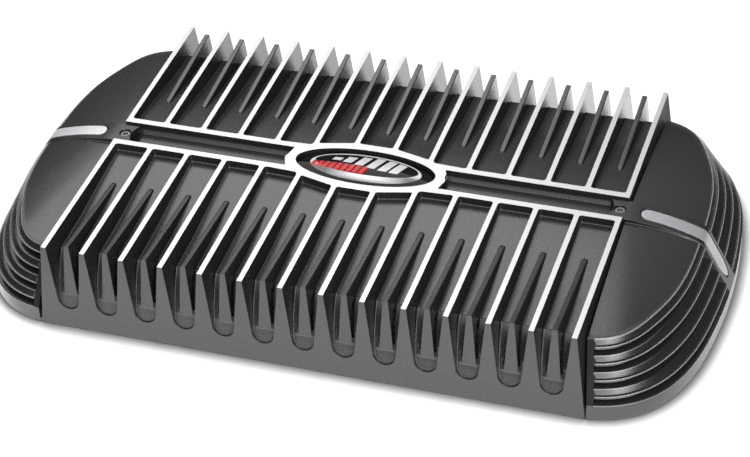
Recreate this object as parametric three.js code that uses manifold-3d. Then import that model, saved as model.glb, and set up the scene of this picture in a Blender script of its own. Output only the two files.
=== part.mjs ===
// Car audio amplifier: a finned cast-aluminium heatsink with two D-shaped end caps that lift off.
// Millimetres, +Z up. X runs along the long side, left is -X and the front is -Y.
// The origin is the middle of the underside.
import * as THREE from "three";
import { mergeVertices } from "three/addons/utils/BufferGeometryUtils.js";
import Module from "manifold-3d";

const wasm = await Module();
wasm.setup();

// ---------------------------------------------------------------- driving dimensions
const GAP = 0.3; // running clearance
const FIN_PITCH = 25.4; // centre to centre of the tall fins
const FIN_COUNT = 14; // tall fins, in a front row and a back row
const FIN_TOP_Z = 57.7; // machined tops: the highest level of the amplifier
const CUT_TOP_Z = 62; // cuts from above start here, clear of the metal
const CHANNEL_Z = 51.2; // floor of the centre channel
const RING_INNER = [45.8, 17.5]; // half axes of the medallion ring's inside
const CAVITY_Y = 106; // half depth of the hollow inside of the heatsink
const CAVITY_Z = 40.5; // its ceiling
const PLATE_T = 1.6; // base plate thickness
const PLATE_Y = 120; // base plate half depth
const CAP_WALL = 3.2;
const CAP_SCREW_X = 163.2; // the screw that holds each cap
const CAP_SCREW_HOLE_R = 2.3;
const PANEL_INNER_X = 164; // end panels, inner and outer face
const PANEL_OUTER_X = 165.5;
const BOARD_Z = 8; // underside of the main board
const BOARD_TOP = 9.6;

// ---------------------------------------------------------------- materials
const COAT = { color: 0x4c4a4d, roughness: 0.62, metalness: 0.35 };
const SILVER = { color: 0xd4d6d8, roughness: 0.32, metalness: 0.9 };
const STEEL = { color: 0x9b9da0, roughness: 0.4, metalness: 0.85 };
const BLACK_STEEL = { color: 0x1c1c1e, roughness: 0.5, metalness: 0.7 };
const ZINC = { color: 0xb9b6a8, roughness: 0.38, metalness: 0.85 };
const BLACK_GLOSS = { color: 0x0a0a0c, roughness: 0.08, metalness: 0.1 };
const BLACK_PLASTIC = { color: 0x17181a, roughness: 0.5, metalness: 0 };
const BOARD_GREEN = { color: 0x1f4d2c, roughness: 0.45, metalness: 0.05 };
const COPPER = { color: 0xa4552a, roughness: 0.35, metalness: 0.8 };
const SLEEVE = { color: 0x1b2440, roughness: 0.4, metalness: 0.05 };
const BRASS = { color: 0xc8a860, roughness: 0.3, metalness: 0.9 };
const GREY_PAD = { color: 0x8f9499, roughness: 0.8, metalness: 0 };
const LED_BLUE = { color: 0x2f7fd0, roughness: 0.15, metalness: 0 };

// ---------------------------------------------------------------- from and to solids
function solid(geometry) {
  geometry.deleteAttribute("normal");
  geometry.deleteAttribute("uv");
  const merged = mergeVertices(geometry, 1e-4);
  return new wasm.Manifold(
    new wasm.Mesh({
      numProp: 3,
      vertProperties: new Float32Array(merged.attributes.position.array),
      triVerts: new Uint32Array(merged.index.array),
    }),
  );
}

function geometryOf(shape) {
  const mesh = shape.getMesh();
  const geometry = new THREE.BufferGeometry();
  const positions = new Float32Array(mesh.vertProperties);
  geometry.setAttribute("position", new THREE.BufferAttribute(positions, 3));
  geometry.setIndex(new THREE.BufferAttribute(new Uint32Array(mesh.triVerts), 1));
  geometry.computeVertexNormals();
  return geometry;
}

// Rings of points joined in order, closed by a fan at the start and by a fan or an apex at the end.
function loft(rings, apex) {
  const count = rings[0].length;
  const last = rings.length - 1;
  const points = rings.flat();
  let triangles = [];
  const at = (ring, i) => ring * count + (i % count);
  for (let ring = 0; ring < last; ring++)
    for (let i = 0; i < count; i++) {
      const start = at(ring, i);
      const opposite = at(ring + 1, i + 1);
      triangles.push([start, at(ring, i + 1), opposite], [start, opposite, at(ring + 1, i)]);
    }
  for (let i = 1; i + 1 < count; i++) triangles.push([at(0, 0), at(0, i + 1), at(0, i)]);
  if (apex) {
    points.push(apex);
    const tip = points.length - 1;
    for (let i = 0; i < count; i++) triangles.push([at(last, i), at(last, i + 1), tip]);
  } else {
    for (let i = 1; i + 1 < count; i++)
      triangles.push([at(last, 0), at(last, i), at(last, i + 1)]);
  }
  // A negative volume means the faces look inwards, so they are turned over.
  let volume = 0;
  for (const triangle of triangles) {
    const [first, second, third] = triangle.map((i) => new THREE.Vector3(...points[i]));
    volume += first.dot(second.cross(third));
  }
  if (volume < 0) triangles = triangles.map(([first, second, third]) => [first, third, second]);
  const geometry = new THREE.BufferGeometry();
  geometry.setAttribute("position", new THREE.Float32BufferAttribute(points.flat(), 3));
  geometry.setIndex(triangles.flat());
  return solid(geometry);
}

// ---------------------------------------------------------------- profiles
const polygon = (points) => new THREE.Shape(points.map(([x, y]) => new THREE.Vector2(x, y)));

// A half profile with positive first values, completed by its mirror image.
const symmetric = (half) => [
  ...half.map(([x, ...rest]) => [-x, ...rest]),
  ...[...half].reverse(),
];

const ellipsePoints = (halfX, halfY, count) =>
  Array.from({ length: count }, (_, i) => {
    const angle = (i / count) * 2 * Math.PI;
    return [halfX * Math.cos(angle), halfY * Math.sin(angle)];
  });
const ellipse = (halfX, halfY, count = 30) => polygon(ellipsePoints(halfX, halfY, count));

function roundedRect(x0, x1, y0, y1, r) {
  const shape = new THREE.Shape();
  shape.moveTo(x0 + r, y0);
  shape.lineTo(x1 - r, y0).absarc(x1 - r, y0 + r, r, -Math.PI / 2, 0);
  shape.lineTo(x1, y1 - r).absarc(x1 - r, y1 - r, r, 0, Math.PI / 2);
  shape.lineTo(x0 + r, y1).absarc(x0 + r, y1 - r, r, Math.PI / 2, Math.PI);
  shape.lineTo(x0, y0 + r).absarc(x0 + r, y0 + r, r, Math.PI, 1.5 * Math.PI);
  return shape;
}

// The four places at (+-x, +-y).
const corners = (x, y) => [[-x, -y], [x, -y], [-x, y], [x, y]];

// ---------------------------------------------------------------- basic solids
const extrude = (shape, depth, curveSegments) =>
  new THREE.ExtrudeGeometry(shape, { depth, bevelEnabled: false, curveSegments });
const CYCLE_AXES = new THREE.Matrix4().makeBasis(
  new THREE.Vector3(0, 1, 0),
  new THREE.Vector3(0, 0, 1),
  new THREE.Vector3(1, 0, 0),
);
// A profile in (x, y) raised along Z, in (y, z) run along X, or in (x, z) run along Y.
const raiseZ = (shape, z0, z1, segments) =>
  solid(extrude(shape, z1 - z0, segments).translate(0, 0, z0));
const runX = (shape, x0, x1) =>
  solid(extrude(shape, x1 - x0).applyMatrix4(CYCLE_AXES).translate(x0, 0, 0));
const runY = (shape, y0, y1) =>
  solid(extrude(shape, y1 - y0).rotateX(Math.PI / 2).translate(0, y1, 0));

const box = (x0, x1, y0, y1, z0, z1) =>
  solid(
    new THREE.BoxGeometry(x1 - x0, y1 - y0, z1 - z0)
      .translate((x0 + x1) / 2, (y0 + y1) / 2, (z0 + z1) / 2),
  );

// Cylinders along each axis; the one along Z may taper.
const postZ = (x, y, z0, z1, r, sides, topR = r) =>
  solid(
    new THREE.CylinderGeometry(topR, r, z1 - z0, sides)
      .rotateX(Math.PI / 2).translate(x, y, (z0 + z1) / 2),
  );
const postX = (x0, x1, y, z, r, sides) =>
  solid(
    new THREE.CylinderGeometry(r, r, x1 - x0, sides)
      .rotateZ(-Math.PI / 2).translate((x0 + x1) / 2, y, z),
  );
const postY = (x, y, z, r, length) =>
  solid(new THREE.CylinderGeometry(r, r, length, 12).translate(x, y, z));

// Profiles of (radius, height along the axis) turned about Z or X.
const lathe = (profile, sides) =>
  new THREE.LatheGeometry(profile.map(([r, height]) => new THREE.Vector2(r, height)), sides);
const turnedZ = (profile, x, y, sides) =>
  solid(lathe(profile, sides).rotateX(Math.PI / 2).translate(x, y, 0));
const turnedX = (profile, y, z, sides) =>
  solid(lathe(profile, sides).rotateZ(-Math.PI / 2).translate(0, y, z));

// ---------------------------------------------------------------- assembly
const amplifier = new THREE.Group();

// A group for parts that move or come off on their own.
function addGroup() {
  const group = new THREE.Group();
  amplifier.add(group);
  return group;
}
const core = addGroup();

function piece(parent, name, shape, look) {
  const mesh = new THREE.Mesh(geometryOf(shape), new THREE.MeshStandardMaterial(look));
  mesh.name = name;
  parent.add(mesh);
}

// ---------------------------------------------------------------- heatsink
const SINK_BASE = [172.6, 128.4]; // half length and half depth at the foot
const SINK_TOP = [166.7, 124.9]; // and at the fin tops
const SINK_CUT_X = 180; // lengthwise cuts run past both ends
const FIN_T = 3.15; // thickness of a tall fin at its top
const FIN_DRAFT = 0.108; // side slope of the tall fins, mm per mm
const SHORT_FIN_HALF_T = 3.3 / 2; // at its top
const SHORT_FIN_DRAFT = 0.08;
const RAIL_IN = 9.75; // the rails beside the centre channel
const RAIL_OUT = 14.1;
const RAIL_LEAN = 0.15;
const RING_OUTER = [53, 23.4];
const RING_BOTTOM_Z = 44;
const RING_FLOOR_Z = 53.2;
const PLATE_SCREWS = corners(120, 113);

// Floor of a pocket between two tall fins: distance from the middle, floor level, corner size.
// It falls gently from the rail, then drops down the outer face.
const POCKET_FLOOR = [[RAIL_OUT, 52.5, 1.5], [107.9, 45.6, 2.2], [117, 34, 5.2], [132, 5.5, 6.4]];

// Stations of a short fin: y and z of the top, half thickness there, y and z of the bottom.
const SHORT_FIN = [
  [45.5, 50.2, 0.5, 45.5, 46],
  [53, 50.9, SHORT_FIN_HALF_T * 0.8, 53, 46],
  [104, 55.2, SHORT_FIN_HALF_T, 104, 43],
  [119.6, 56.5, SHORT_FIN_HALF_T, 122.9, 21],
];

// Half profiles: the channel across y, and the cavity with the recess for the base plate below.
const CHANNEL_HALF = [
  [RAIL_IN + RAIL_LEAN, CUT_TOP_Z], [RAIL_IN, FIN_TOP_Z], [RAIL_IN - RAIL_LEAN, 53.6],
  [7.6, CHANNEL_Z],
];
const CAVITY_HALF = [
  [PLATE_Y + GAP, -2], [PLATE_Y + GAP, PLATE_T + GAP], [CAVITY_Y, PLATE_T + GAP],
  [CAVITY_Y, 36], [99, CAVITY_Z],
];

const rectRing = ([x, y], z) => [[-x, -y, z], [x, -y, z], [x, y, z], [-x, y, z]];
// A ring centred at x on the front (side -1) or back (side 1).
const finRing = (x, side, half) =>
  symmetric(half).map(([across, y, z]) => [x + across, side * y, z]);

const pocketHalf = (z) => (FIN_PITCH - FIN_T) / 2 - FIN_DRAFT * (FIN_TOP_Z - z);
function pocket(x, side) {
  return loft(POCKET_FLOOR.map(([y, z, corner]) => finRing(x, side, [
    [pocketHalf(CUT_TOP_Z), y, CUT_TOP_Z],
    [pocketHalf(z + corner), y, z + corner],
    [pocketHalf(z) - corner, y, z],
  ])));
}

function shortFin(x, side) {
  return loft(SHORT_FIN.map(([topY, topZ, halfT, bottomY, bottomZ]) => finRing(x, side, [
    [halfT + SHORT_FIN_DRAFT * (topZ - bottomZ), bottomY, bottomZ],
    [halfT, topY, topZ],
  ])));
}

function heatsink() {
  let sink = loft([rectRing(SINK_BASE, 0), rectRing(SINK_TOP, FIN_TOP_Z)]);
  for (let i = 0; i + 1 < FIN_COUNT; i++)
    for (const side of [-1, 1]) {
      const x = (i + 1 - FIN_COUNT / 2) * FIN_PITCH;
      sink = sink.subtract(pocket(x, side)).add(shortFin(x, side));
    }
  sink = sink.subtract(runX(polygon(symmetric(CHANNEL_HALF)), -SINK_CUT_X, SINK_CUT_X));
  sink = sink.add(raiseZ(ellipse(...RING_OUTER), RING_BOTTOM_Z, FIN_TOP_Z));
  sink = sink.subtract(raiseZ(ellipse(...RING_INNER), RING_FLOOR_Z, CUT_TOP_Z));
  sink = sink.subtract(runX(polygon(symmetric(CAVITY_HALF)), -SINK_CUT_X, SINK_CUT_X));
  for (const [x, y] of PLATE_SCREWS) sink = sink.subtract(postZ(x, y, 0, 12, 1.9, 8));
  for (const x of [-CAP_SCREW_X, CAP_SCREW_X])
    sink = sink.subtract(postZ(x, 0, 38, 60, CAP_SCREW_HOLE_R, 10));
  return sink;
}
piece(core, "heatsink", heatsink(), COAT);

// ---------------------------------------------------------------- end cap outline
const CAP_BAND_Z = 11; // top of the plain band
const CAP_EDGE_Z = 46; // roof edge
const CAP_CROWN = 7.5; // rise of the roof
const SEAM_X = 168; // the roof rises towards this x
const OUTLINE_POINTS = 21;

// Half outlines (x, y) of the right cap, from the seam to the far end: at its foot ...
const FOOT_OUTLINE = [
  [173.4, 128.4], [182.6, 127], [191.5, 124.2], [199, 120], [205.4, 114.8], [210.4, 109.8],
  [215, 103.6], [219.4, 95.6], [223.6, 85.6], [227.6, 72], [230.4, 56], [232.4, 38],
  [233.9, 19], [234.4, 0],
];
// ... and at its roof edge.
const EDGE_OUTLINE = [
  [169.4, 111], [177, 109.8], [184, 106.9], [189, 103], [193, 98.2], [196.6, 92],
  [200, 84.4], [205, 73], [209.3, 60.8], [212.4, 46], [214.3, 26], [214.8, 0],
];

// The whole outline, front to back, at even spacing.
function outlineOf(half) {
  const whole = [...half.map(([x, y]) => [x, -y]), ...half.slice(0, -1).reverse()];
  const points = whole.map(([x, y]) => new THREE.Vector3(x, y, 0));
  return new THREE.CatmullRomCurve3(points, false, "centripetal")
    .getSpacedPoints(OUTLINE_POINTS - 1);
}
const foot = outlineOf(FOOT_OUTLINE);
const edge = outlineOf(EDGE_OUTLINE);

// The outline at a share of the way up the side, moved inwards by inset.
// With fadeEnds the two ends at the seam stay in place.
function capRing(share, z, inset = 0, fadeEnds = false) {
  const points = foot.map((point, i) => point.clone().lerp(edge[i], share));
  const last = OUTLINE_POINTS - 1;
  return points.map((point, i) => {
    const before = points[Math.max(i - 1, 0)];
    const after = points[Math.min(i + 1, last)];
    const along = after.clone().sub(before).normalize();
    const shift = fadeEnds && (i === 0 || i === last) ? 0 : inset;
    return [point.x - along.y * shift, point.y + along.x * shift, z];
  });
}
const sideShare = (z) => Math.max(0, (z - CAP_BAND_Z) / (CAP_EDGE_Z - CAP_BAND_Z));
// A ring drawn in towards the middle of the seam.
const shrunk = (ring, scale, z) =>
  ring.map(([x, y]) => [SEAM_X + (x - SEAM_X) * scale, y * scale, z]);

// ---------------------------------------------------------------- end cap shell
const GROOVE = 4.2; // depth of the louver grooves
const GROOVES = 4;
const GROOVE_STEPS = [[0.35, GROOVE], [2.5, GROOVE], [2.85, 0]]; // height in the groove, inset
const INNER_X = 150; // the inside is cut open to here, towards the heatsink
const INNER_SIDE_Z = 41.6; // top of the inner side walls
const INNER_ROOF = [[0.66, 46], [0.34, 48.8], [0.04, 49.9]]; // scale of the ring, level

function capOutside() {
  const rings = [capRing(0, 0)];
  const pitch = (CAP_EDGE_Z - CAP_BAND_Z) / GROOVES;
  for (let i = 0; i < GROOVES; i++) {
    const grooveZ = CAP_BAND_Z + i * pitch;
    rings.push(capRing(sideShare(grooveZ), grooveZ));
    for (const [rise, inset] of GROOVE_STEPS) {
      const z = grooveZ + rise;
      // The groove is cut straight in, so its first edge keeps the outline below it.
      const outlineZ = rise === GROOVE_STEPS[0][0] ? grooveZ : z;
      rings.push(capRing(sideShare(outlineZ), z, inset, true));
    }
  }
  const roofEdge = capRing(1, CAP_EDGE_Z);
  rings.push(roofEdge);
  for (const scale of [0.86, 0.62, 0.34])
    rings.push(shrunk(roofEdge, scale, CAP_EDGE_Z + CAP_CROWN * (1 - scale * scale)));
  return loft(rings, [SEAM_X, 0, CAP_EDGE_Z + CAP_CROWN]);
}

function capInside() {
  const shoulder = capRing(sideShare(INNER_SIDE_Z), INNER_SIDE_Z, GROOVE + 2.6);
  const rings = [
    capRing(0, -2, CAP_WALL),
    capRing(0, 8, CAP_WALL),
    capRing(0, 11.5, GROOVE + 3),
    shoulder,
    ...INNER_ROOF.map(([scale, z]) => shrunk(shoulder, scale, z)),
  ];
  return loft(rings.map((ring) => {
    const [, frontY, z] = ring[0];
    const backY = ring[OUTLINE_POINTS - 1][1];
    return [[INNER_X, frontY, z], ...ring, [INNER_X, backY, z]];
  }));
}

// ---------------------------------------------------------------- end cap ridge and tongue
const RIDGE_HALF_Y = 8.8;
const TONGUE_END_X = 155.5;
const TONGUE_TOP_Z = 56;
// Top line (x, z) of the ridge along the middle of the cap, then its underside.
const RIDGE_TOP = [
  [TONGUE_END_X, TONGUE_TOP_Z], [172, 56], [177, 55.3], [190, 53.5], [202, 50.6],
  [209.5, 48.3], [213.4, 46.9], [216.4, 44.6], [219, 41], [234.35, 11.2],
];
const RIDGE_UNDERSIDE = [[228.5, 11.2], [210, 44], [190, 49], [168, 51.5], [TONGUE_END_X, 51.5]];
// Half section (y, z) of the tongue that lies in the heatsink channel.
const TONGUE_HALF = [[7.2, CHANNEL_Z + GAP], [9.25, 54], [9.2, TONGUE_TOP_Z]];
const CABLE_OPENING = [[178, -2], [202, -2], [202, 6.6], [199.5, 9.4], [180.5, 9.4], [178, 6.6]];

// The tongue, with its inner end hollowed to a curve in plan.
function tongue() {
  const plan = new THREE.Shape();
  plan.moveTo(TONGUE_END_X, -12).lineTo(175, -12).lineTo(175, 12).lineTo(TONGUE_END_X, 12);
  plan.quadraticCurveTo(TONGUE_END_X + 4, 0, TONGUE_END_X, -12);
  return runX(polygon(symmetric(TONGUE_HALF)), 155, 169.6).intersect(raiseZ(plan, 50, 60, 8));
}

function endCap() {
  let cap = capOutside();
  const ridge = polygon([...RIDGE_TOP, ...RIDGE_UNDERSIDE]);
  cap = cap.add(runY(ridge, -RIDGE_HALF_Y, RIDGE_HALF_Y));
  cap = cap.subtract(box(150, 168.2, -20, 20, 50, 60)).add(tongue());
  cap = cap.subtract(capInside());
  // Cable opening at the foot of the back wall.
  cap = cap.subtract(runY(polygon(CABLE_OPENING), 100, 140));
  // Counterbored screw hole in the tongue.
  cap = cap.subtract(postZ(CAP_SCREW_X, 0, 40, 60, CAP_SCREW_HOLE_R, 10));
  cap = cap.subtract(postZ(CAP_SCREW_X, 0, 53, 60, 3.7, 14));
  return cap.subtract(badgeStrip(-4, 5.7, GAP));
}

// ---------------------------------------------------------------- badge strip
const STRIP_HALF_Y = 5.2;
const STRIP_ROUND_X = 181.6; // centre of the rounded inner end
const STRIP_ROUND_STEPS = 10;
const STRIP_LINE = [[168, 56.6], ...RIDGE_TOP.slice(2, -1), [233.4, 13]]; // (x, z)
const STRIP_TIP = [[224.5, STRIP_HALF_Y], [228, 4.2], [230.3, 2.2]]; // half plan (x, y)
const STRIP_END_X = 230.9;

// The strip follows the ridge over the bend and ends in a narrow tip.
// It starts at drop below the line and is depth thick; grow widens the plan.
function badgeStrip(drop, depth, grow) {
  const lowered = (distance) => STRIP_LINE.map(([x, z], i) => {
    const before = STRIP_LINE[Math.max(i - 1, 0)];
    const after = STRIP_LINE[Math.min(i + 1, STRIP_LINE.length - 1)];
    const dx = after[0] - before[0];
    const dz = after[1] - before[1];
    const length = Math.hypot(dx, dz);
    return [x + (dz / length) * distance, z - (dx / length) * distance];
  });
  const bar = runY(polygon([...lowered(drop), ...lowered(drop + depth).reverse()]), -8, 8);
  const r = STRIP_HALF_Y + grow;
  const plan = [];
  for (let i = 0; i <= STRIP_ROUND_STEPS; i++) {
    const angle = -Math.PI / 2 - (i / STRIP_ROUND_STEPS) * Math.PI;
    plan.push([STRIP_ROUND_X + r * Math.cos(angle), r * Math.sin(angle)]);
  }
  const tip = STRIP_TIP.map(([x, y]) => [x + grow, y + grow]);
  plan.push(...tip, [STRIP_END_X + grow, 0], ...tip.map(([x, y]) => [x, -y]).reverse());
  return bar.intersect(raiseZ(polygon(plan), 0, 62));
}

// ---------------------------------------------------------------- both end caps
const CAP_SCREW = [
  [0, 42.6], [1.6, 42.6], [2, 43.2], [2, 53.2], [3.35, 53.2], [3.35, 54.7], [3, 55],
  [1.75, 55], [1.75, 53.9], [0, 53.9],
];
const capParts = [
  ["end_cap", endCap(), COAT],
  ["cap_strip", badgeStrip(0.3, 1.1, 0), SILVER],
  ["cap_screw", turnedZ(CAP_SCREW, CAP_SCREW_X, 0, 12), ZINC],
];
for (const hand of ["left", "right"]) {
  const group = addGroup();
  for (const [name, shape, look] of capParts)
    piece(group, `${hand}_${name}`, hand === "left" ? shape.mirror([1, 0, 0]) : shape, look);
}

// ---------------------------------------------------------------- medallion
const [DOME_X, DOME_Y] = RING_INNER.map((half) => half - 0.4);
const DOME_RIM_Z = 55.2;
const DOME_RISE = 1.9;
const TRIM_LIFT = 0.12; // the trim stands this far above the dome

const domeRing = (scale, z) =>
  ellipsePoints(DOME_X * scale, DOME_Y * scale, 24).map(([x, y]) => [x, y, z]);
function domeSolid(bottomZ, rimZ, scales, lift) {
  const domeZ = (scale) => DOME_RIM_Z + DOME_RISE * (1 - scale * scale) + lift;
  return loft(
    [domeRing(1, bottomZ), domeRing(1, rimZ), ...scales.map((s) => domeRing(s, domeZ(s)))],
    [0, 0, domeZ(0)],
  );
}

// An oval band, wider at the front because its inner edge is set back.
function trimBand(z0, z1, grow) {
  const inner = raiseZ(ellipse(34.2 - grow, 12 - grow, 24), z0 - 1, z1 + 1);
  return raiseZ(ellipse(37.2 + grow, 15 + grow, 24), z0, z1).subtract(inner.translate([0, 1.4, 0]));
}

const dome = domeSolid(53.5, DOME_RIM_Z, [0.94, 0.8, 0.5], 0).subtract(trimBand(55, 60, 0.15));
piece(core, "medallion_dome", dome, BLACK_GLOSS);
const trim = trimBand(55.1, 60, 0).intersect(domeSolid(53, 55.35, [0.8, 0.5], TRIM_LIFT));
piece(core, "medallion_trim", trim, SILVER);

// ---------------------------------------------------------------- base plate
const PLATE_SHOULDER_X = 172; // the full depth ends here
const MOUNT_HOLES = corners(203, 72);
const PLATE_SCREW = [[0, 0.05], [3.1, 0.05], [1.4, 1.6], [1.4, 10], [0, 10]];

function basePlate() {
  const end = capRing(0, 0, CAP_WALL + 1.2).filter(([x]) => x > 180);
  const outline = polygon([
    [-PLATE_SHOULDER_X, -PLATE_Y], [PLATE_SHOULDER_X, -PLATE_Y], ...end,
    [PLATE_SHOULDER_X, PLATE_Y], [-PLATE_SHOULDER_X, PLATE_Y], ...end.map(([x, y]) => [-x, -y]),
  ]);
  let plate = raiseZ(outline, 0, PLATE_T);
  for (const [x, y] of PLATE_SCREWS)
    plate = plate.subtract(postZ(x, y, -0.2, PLATE_T + 0.2, 3.8, 10, 1.7));
  for (const [x, y] of MOUNT_HOLES) plate = plate.subtract(postZ(x, y, -1, 3, 2.75, 12));
  return plate;
}
piece(core, "base_plate", basePlate(), BLACK_STEEL);
PLATE_SCREWS.forEach(([x, y], i) => {
  const slot = box(x - 1.9, x + 1.9, y - 0.4, y + 0.4, -1, 0.9);
  const screw = turnedZ(PLATE_SCREW, x, y, 10).subtract(slot);
  piece(core, `base_plate_screw_${i + 1}`, screw, BLACK_STEEL);
});

// ---------------------------------------------------------------- end panels
const POWER_SPAN = [20, 84]; // y of the connector blocks
const SPEAKER_SPAN = [-84, -20];
const RCA_SPAN = [28, 72];
const OPENING_GAP = 0.4;
const CONTROL_Z = 17.4; // axis of the knobs and the LED
const GAIN_Y = -8;
const BASS_Y = -30;
const LED_Y = 10;
const SHAFT_HOLE_R = 3.5;
const SLIDER_Y = -58;
const SLIDER_Z = 14.6;
const PANEL_HALF = [[105.6, PLATE_T + GAP], [105.6, 35.8], [98.7, CAVITY_Z - GAP]]; // (y, z)

const sliderSlot = (x0, x1) =>
  box(x0, x1, SLIDER_Y - 4.4, SLIDER_Y + 4.4, SLIDER_Z - 1.8, SLIDER_Z + 1.8);

// Openings are pairs of a connector's y span and the top of its opening.
function endPanel(x0, x1, openings) {
  let panel = runX(polygon(symmetric(PANEL_HALF)), x0, x1);
  for (const [[y0, y1], top] of openings)
    panel = panel.subtract(box(x0 - 1, x1 + 1, y0 - OPENING_GAP, y1 + OPENING_GAP, 9, top));
  return panel;
}

function leftEndPanel() {
  let panel = endPanel(-PANEL_OUTER_X, -PANEL_INNER_X, [[RCA_SPAN, 25.6]]);
  for (const y of [GAIN_Y, BASS_Y])
    panel = panel.subtract(postX(-170, -160, y, CONTROL_Z, SHAFT_HOLE_R, 14));
  panel = panel.subtract(postX(-170, -160, LED_Y, CONTROL_Z, 1.9, 8));
  return panel.subtract(sliderSlot(-170, -160));
}
const rightOpenings = [[POWER_SPAN, 31], [SPEAKER_SPAN, 27]];
const rightPanel = endPanel(PANEL_INNER_X, PANEL_OUTER_X, rightOpenings);
piece(core, "right_end_panel", rightPanel, BLACK_STEEL);
piece(core, "left_end_panel", leftEndPanel(), BLACK_STEEL);

// ---------------------------------------------------------------- main board and its posts
const STANDOFFS = corners(148, 92);

let board = raiseZ(roundedRect(-156, 156, -104, 104, 3), BOARD_Z, BOARD_TOP, 2);
for (const [x, y] of STANDOFFS) board = board.subtract(postZ(x, y, 5, 12, 1.9, 8));
piece(core, "main_board", board, BOARD_GREEN);
STANDOFFS.forEach(([x, y], i) => {
  const hex = postZ(x, y, PLATE_T, BOARD_Z, 3.4, 6);
  const stud = postZ(x, y, BOARD_Z - 0.5, BOARD_TOP + 1.6, 1.5, 8);
  piece(core, `board_standoff_${i + 1}`, hex.add(stud), BRASS);
});

// ---------------------------------------------------------------- transformers and capacitors
const TOROID = { outer: 26, inner: 10, top: 33, chamfer: 5, x: 104 };
const CAPACITOR_X = 42;
const CAPACITOR = [
  [0, BOARD_TOP], [11, BOARD_TOP], [11, 37], [10.4, 37.6], [9.4, 37.6], [9.2, 37.1], [0, 37.1],
];

function toroid(y) {
  const { outer, inner, top, chamfer, x } = TOROID;
  return turnedZ([
    [inner, BOARD_TOP + chamfer], [inner + chamfer, BOARD_TOP],
    [outer - chamfer, BOARD_TOP], [outer, BOARD_TOP + chamfer],
    [outer, top - chamfer], [outer - chamfer, top],
    [inner + chamfer, top], [inner, top - chamfer], [inner, BOARD_TOP + chamfer],
  ], x, y, 18);
}
[-44, 44].forEach((y, i) => piece(core, `toroid_transformer_${i + 1}`, toroid(y), COPPER));
[-51, -17, 17, 51].forEach((y, i) => {
  piece(core, `capacitor_${i + 1}`, turnedZ(CAPACITOR, CAPACITOR_X, y, 24), SLEEVE);
});

// ---------------------------------------------------------------- output devices
const DEVICE_X = [-86, 0, 86];
const LEG_PITCH = 5.4;
const CLAMP_HOLE_X = 43;

// A y range given for the back, taken to the front for side -1.
const spanY = (side, near, far) => (side < 0 ? [-far, -near] : [near, far]);

function transistor(x, side) {
  let body = box(x - 8, x + 8, ...spanY(side, 100.4, 105.2), 14, 34);
  body = body.subtract(postY(x, side * 103, 29.4, 1.8, 20));
  for (const offset of [-LEG_PITCH, 0, LEG_PITCH]) {
    const legX = x + offset;
    body = body.add(box(legX - 0.6, legX + 0.6, ...spanY(side, 102.5, 103.1), BOARD_TOP, 15));
  }
  return body;
}

function transistorClamp(side) {
  const web = box(-100, 100, ...spanY(side, 98.6, 100.2), 17, 25);
  let clamp = web.add(box(-100, 100, ...spanY(side, 96.4, 100.2), 25, 26.4));
  for (const x of [-CLAMP_HOLE_X, CLAMP_HOLE_X])
    clamp = clamp.subtract(postY(x, side * 99, 21, 1.9, 30));
  return clamp;
}

[["front", -1], ["back", 1]].forEach(([row, side], rowIndex) => {
  DEVICE_X.forEach((x, i) => {
    const number = rowIndex * DEVICE_X.length + i + 1;
    piece(core, `power_transistor_${number}`, transistor(x, side), BLACK_PLASTIC);
  });
  piece(core, `transistor_clamp_${row}`, transistorClamp(side), ZINC);
  const pad = box(-97, 97, ...spanY(side, 105.3, 105.7), 12, 29.6);
  piece(core, `insulator_pad_${row}`, pad, GREY_PAD);
});

// ---------------------------------------------------------------- power terminals (right end)
const TERMINAL_X = 150; // inner face of both terminal blocks
const SET_SCREW_X = 180.5;
const INSERT_Z = 12.4; // underside of the inserts
// half: half width in y; top: top of the insert; rise: height of the screw above it.
const CABLE_WAY = { half: 7, top: 27, boreR: 4.8, boreZ: 18.4, screwR: 4, rise: 1.2 };
const POWER_WAYS = [
  { name: "battery", y: 33, ...CABLE_WAY },
  { name: "ground", y: 71, ...CABLE_WAY },
  { name: "remote", y: 52, half: 4.6, top: 22.4, boreR: 2.5, boreZ: 16.6, screwR: 2, rise: 0.4 },
];

// A block on the board with its top outer edge sloped off.
function terminalBody([y0, y1], x1, top) {
  const profile = [
    [TERMINAL_X, BOARD_TOP], [x1, BOARD_TOP], [x1, top - 5], [x1 - 3, top], [TERMINAL_X, top],
  ];
  return runY(polygon(profile), y0, y1);
}

function terminalInsert({ y, half, top, boreR, boreZ, screwR }) {
  return box(172, 187.6, y - half, y + half, INSERT_Z, top)
    .subtract(postX(170, 190, y, boreZ, boreR, 12))
    .subtract(postZ(SET_SCREW_X, y, boreZ, 32, screwR + 0.5, 12));
}

function setScrew({ y, top, boreR, boreZ, screwR: r, rise }) {
  const z0 = boreZ + boreR * 0.55;
  const z1 = top + rise;
  const profile = [[0, z0], [r - 0.6, z0], [r, z0 + 0.7], [r, z1 - 0.4], [r - 0.4, z1], [0, z1]];
  const hexSocket = postZ(SET_SCREW_X, y, z1 - r * 0.7, z1 + 2, r * 0.55, 6);
  return turnedZ(profile, SET_SCREW_X, y, 12).subtract(hexSocket);
}

let powerBlock = terminalBody(POWER_SPAN, 190, 30.6);
for (const way of POWER_WAYS) {
  const { name, y, half, top, screwR } = way;
  powerBlock = powerBlock
    .subtract(box(171.6, 192, y - half - GAP, y + half + GAP, INSERT_Z - GAP, top + GAP))
    .subtract(postZ(SET_SCREW_X, y, 20, 34, screwR + 0.7, 12));
  piece(core, `power_terminal_insert_${name}`, terminalInsert(way), BRASS);
  piece(addGroup(), `power_terminal_screw_${name}`, setScrew(way), STEEL);
}
piece(core, "power_terminal_block", powerBlock, BLACK_PLASTIC);

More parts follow.
